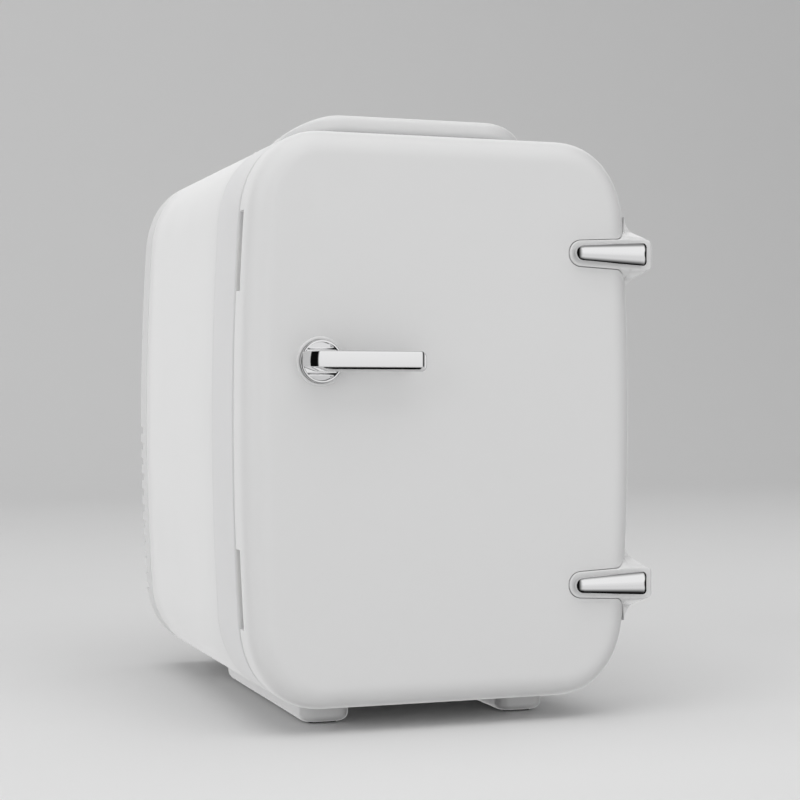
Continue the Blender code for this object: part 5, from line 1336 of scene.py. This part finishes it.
class CarriedPieces:
    """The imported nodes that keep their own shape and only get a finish."""

    FINISHES: dict[str, Finish] = {
        "insulation": FOAM, "door_insulation": FOAM, "inner_liner": INNER_WHITE,
        "liner_back_wall": INNER_WHITE, "shelf": INNER_WHITE,
        "keeper_plate": ZINC, "strike_plate": ZINC, "evaporator_cover": INNER_WHITE, "cold_sink": EXTRUDED,
        "cold_block": EXTRUDED, "thermoelectric_module": CERAMIC, "hot_sink": EXTRUDED,
        "inner_fan_frame": BLACK_GRAINED, "inner_fan_rotor": BLACK_GRAINED, "rear_fan_frame": BLACK_GRAINED,
        "rear_fan_rotor": BLACK_GRAINED, "power_board": BOARD, "transformer": DARK_TAPE,
        "filter_capacitor": SLEEVE, "ac_inlet": BLACK_GRAINED, "dc_inlet": BLACK_GRAINED,
        # The foot pads' black is partly rubber and partly a painted contact shadow along the feet's lower edge.
        "switch_housing": BLACK_GRAINED, "mode_rocker": BLACK_GRAINED, "foot_pad_left": RUBBER_PAD_AND_CONTACT_SHADOW,
        "foot_pad_right": RUBBER_PAD_AND_CONTACT_SHADOW, "hinge_bracket_upper": FRAME_WHITE, "hinge_bracket_lower": FRAME_WHITE,
        "hinge_pin_upper": GROUND_STEEL, "hinge_pin_lower": GROUND_STEEL, "handle_pivot_left": GLOSS_WHITE,
        "handle_pivot_right": GLOSS_WHITE, "rear_cover_screw_1": ZINC, "rear_cover_screw_2": ZINC,
        "rear_cover_screw_3": ZINC, "rear_cover_screw_4": ZINC, "door_magnet": FERRITE,
        "door_liner": INNER_WHITE, "door_gasket": GASKET, "door_bin": INNER_WHITE, "lever_spindle": GROUND_STEEL,
        "cam_tongue": ZINC, "cam_screw": ZINC,
    }

    def build(self) -> None:
        """Give each node its finish."""
        for node, look in self.FINISHES.items():
            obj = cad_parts[node]
            material = look.material()
            if obj.material_slots:
                for slot in obj.material_slots:
                    slot.link = "OBJECT"
                    slot.material = material
            else:
                obj.data.materials.append(material)
            LOG.info("%s keeps its shape, in %s", node, look.name)


@dataclass
class Studio:
    """The floor with its curved backdrop, the soft lights and the camera."""

    floor_front: float = -4.0
    wall_depth: float = 1.6
    bend: float = 1.2
    wall_top: float = 4.0
    half_width: float = 5.0
    camera_place: tuple[float, float, float] = (-269.1 * MM, -713.4 * MM, 11.5 * MM)
    camera_yaw: float = 19.15
    camera_tilt: float = -0.24
    camera_lens: float = 81.7
    surround: float = 0.40
    behind: float = 1.0

    def backdrop(self) -> None:
        """The floor and wall as one sheet: level, a quarter circle, then upright."""
        t = np.linspace(0.0, math.pi / 2, 40)
        wall = self.wall_depth + self.bend
        y = np.concatenate([[self.floor_front, 0.0], self.wall_depth + self.bend * np.sin(t), [wall]])
        z = np.concatenate([[0.0, 0.0], self.bend * (1 - np.cos(t)), [self.wall_top]])
        left = np.stack([np.full_like(y, -self.half_width), y, z], axis=-1)
        right = left * np.array([-1.0, 1.0, 1.0])
        count = len(y)
        k = np.arange(count - 1)
        quads = np.stack([k, k + count, k + count + 1, k + 1], axis=-1)
        obj = make_object("studio_sweep", Patch(np.concatenate([left, right]), quads))
        look = Finish("studio_paper", (0.80, 0.80, 0.80), 0.85, specular=0.1, tone_amount=0.01, grain_depth=0.0,
                      ripple_depth=0.0, marks=0.0)
        obj.data.materials.append(look.material())
        obj.visible_glossy = False

    def softbox(self, name: str, place: tuple[float, float, float], target: tuple[float, float, float],
                size: tuple[float, float], power: float) -> None:
        """A rectangular soft light that looks at a point."""
        light = bpy.data.lights.new(name, "AREA")
        light.shape = "RECTANGLE"
        light.size, light.size_y = size
        light.energy = power
        obj = bpy.data.objects.new(name, light)
        obj.location = place
        obj.rotation_euler = (Vector(target) - Vector(place)).to_track_quat("-Z", "Y").to_euler()
        obj.visible_glossy = False
        bpy.context.scene.collection.objects.link(obj)

    def sky(self) -> None:
        """An even surround for soft light, and a studio of panels and dark gaps for polished surfaces to show.

        The panels are smooth steps in azimuth from the front and in elevation: a bright one in front, a grey one
        overhead, a bright one behind, and darkness between them.
        """
        world = bpy.data.worlds.new("studio_surround")
        bpy.context.scene.world = world
        world.use_nodes = True
        kit = NodeKit(world.node_tree)
        place = kit.add("ShaderNodeTexCoord")
        split = kit.add("ShaderNodeSeparateXYZ")
        kit.link(place.outputs["Generated"], split.inputs[0])
        x, y, z = split.outputs
        azimuth = kit.math("MULTIPLY", kit.math("ARCTAN2", x, kit.math("MULTIPLY", y, -1.0)), 180.0 / math.pi)
        elevation = kit.math("MULTIPLY", kit.math("ARCSINE", z), 180.0 / math.pi)
        across = kit.math("MULTIPLY", kit.ramp(azimuth, -40.0, 6.0), kit.ramp(azimuth, 80.0, 42.0))
        up = kit.math("MULTIPLY", kit.ramp(elevation, -62.0, -30.0), kit.ramp(elevation, 66.0, 44.0))
        glow = kit.ramp(elevation, -20.0, 14.0, 0.74, 0.92)
        front = kit.math("MULTIPLY", kit.math("MULTIPLY", across, up), glow)
        overhead = kit.ramp(elevation, 52.0, 70.0, 0.0, 0.36)
        below = kit.ramp(elevation, -72.0, -86.0, 0.0, 0.05)
        behind = kit.math("MULTIPLY", kit.ramp(kit.math("ABSOLUTE", azimuth), 118.0, 140.0),
                          kit.ramp(kit.math("ABSOLUTE", elevation), 60.0, 40.0, 0.0, self.behind))
        total = kit.math("ADD", kit.math("ADD", front, overhead), kit.math("ADD", below, behind))
        total = kit.math("ADD", total, 0.004)
        shown = kit.add("ShaderNodeLightPath")
        strength = kit.add("ShaderNodeMix", data_type="FLOAT")
        strength.inputs[2].default_value = self.surround
        kit.link(shown.outputs["Is Glossy Ray"], strength.inputs[0])
        kit.link(total, strength.inputs[3])
        background = world.node_tree.nodes["Background"]
        background.inputs["Color"].default_value = (1.0, 1.0, 1.0, 1.0)
        kit.link(strength.outputs[0], background.inputs["Strength"])

    def camera(self) -> None:
        """The camera, placed from the door's middle."""
        data = bpy.data.cameras.new("studio_camera")
        data.lens = self.camera_lens
        data.sensor_width = 36.0
        data.clip_start = 0.01
        data.clip_end = 50.0
        obj = bpy.data.objects.new("studio_camera", data)
        obj.location = AT.vector(*self.camera_place)
        obj.rotation_euler = (math.radians(90.0 + self.camera_tilt), 0.0, -math.radians(self.camera_yaw))
        bpy.context.scene.collection.objects.link(obj)
        bpy.context.scene.camera = obj

    def build(self) -> None:
        """Everything round the object."""
        bpy.context.scene.view_settings.view_transform = "Standard"
        self.sky()
        self.backdrop()
        self.softbox("overhead_softbox", (0.0, -0.4, 2.2), (0.0, 0.0, 0.1), (2.6, 2.6), 26.0)
        self.softbox("left_softbox", (-2.2, -0.9, 1.1), (0.0, 0.0, 0.12), (1.8, 1.8), 16.0)
        self.softbox("front_softbox", (0.9, -2.6, 1.0), (0.0, 0.0, 0.12), (1.6, 1.6), 9.0)
        self.camera()


def main() -> None:
    """Build every sub-assembly in order, then the studio."""
    logging.basicConfig(level=logging.INFO, format="%(name)s %(message)s")
    Studio().build()
    for assembly in (FrontFrame(), Casing(), RearCover(), Feet(), CarryHandle(), Door(), LatchLever(),
                     CarriedPieces()):
        LOG.info("building %s", type(assembly).__name__)
        assembly.build()
    bpy.context.view_layer.update()


if __name__ == "__main__":
    main()
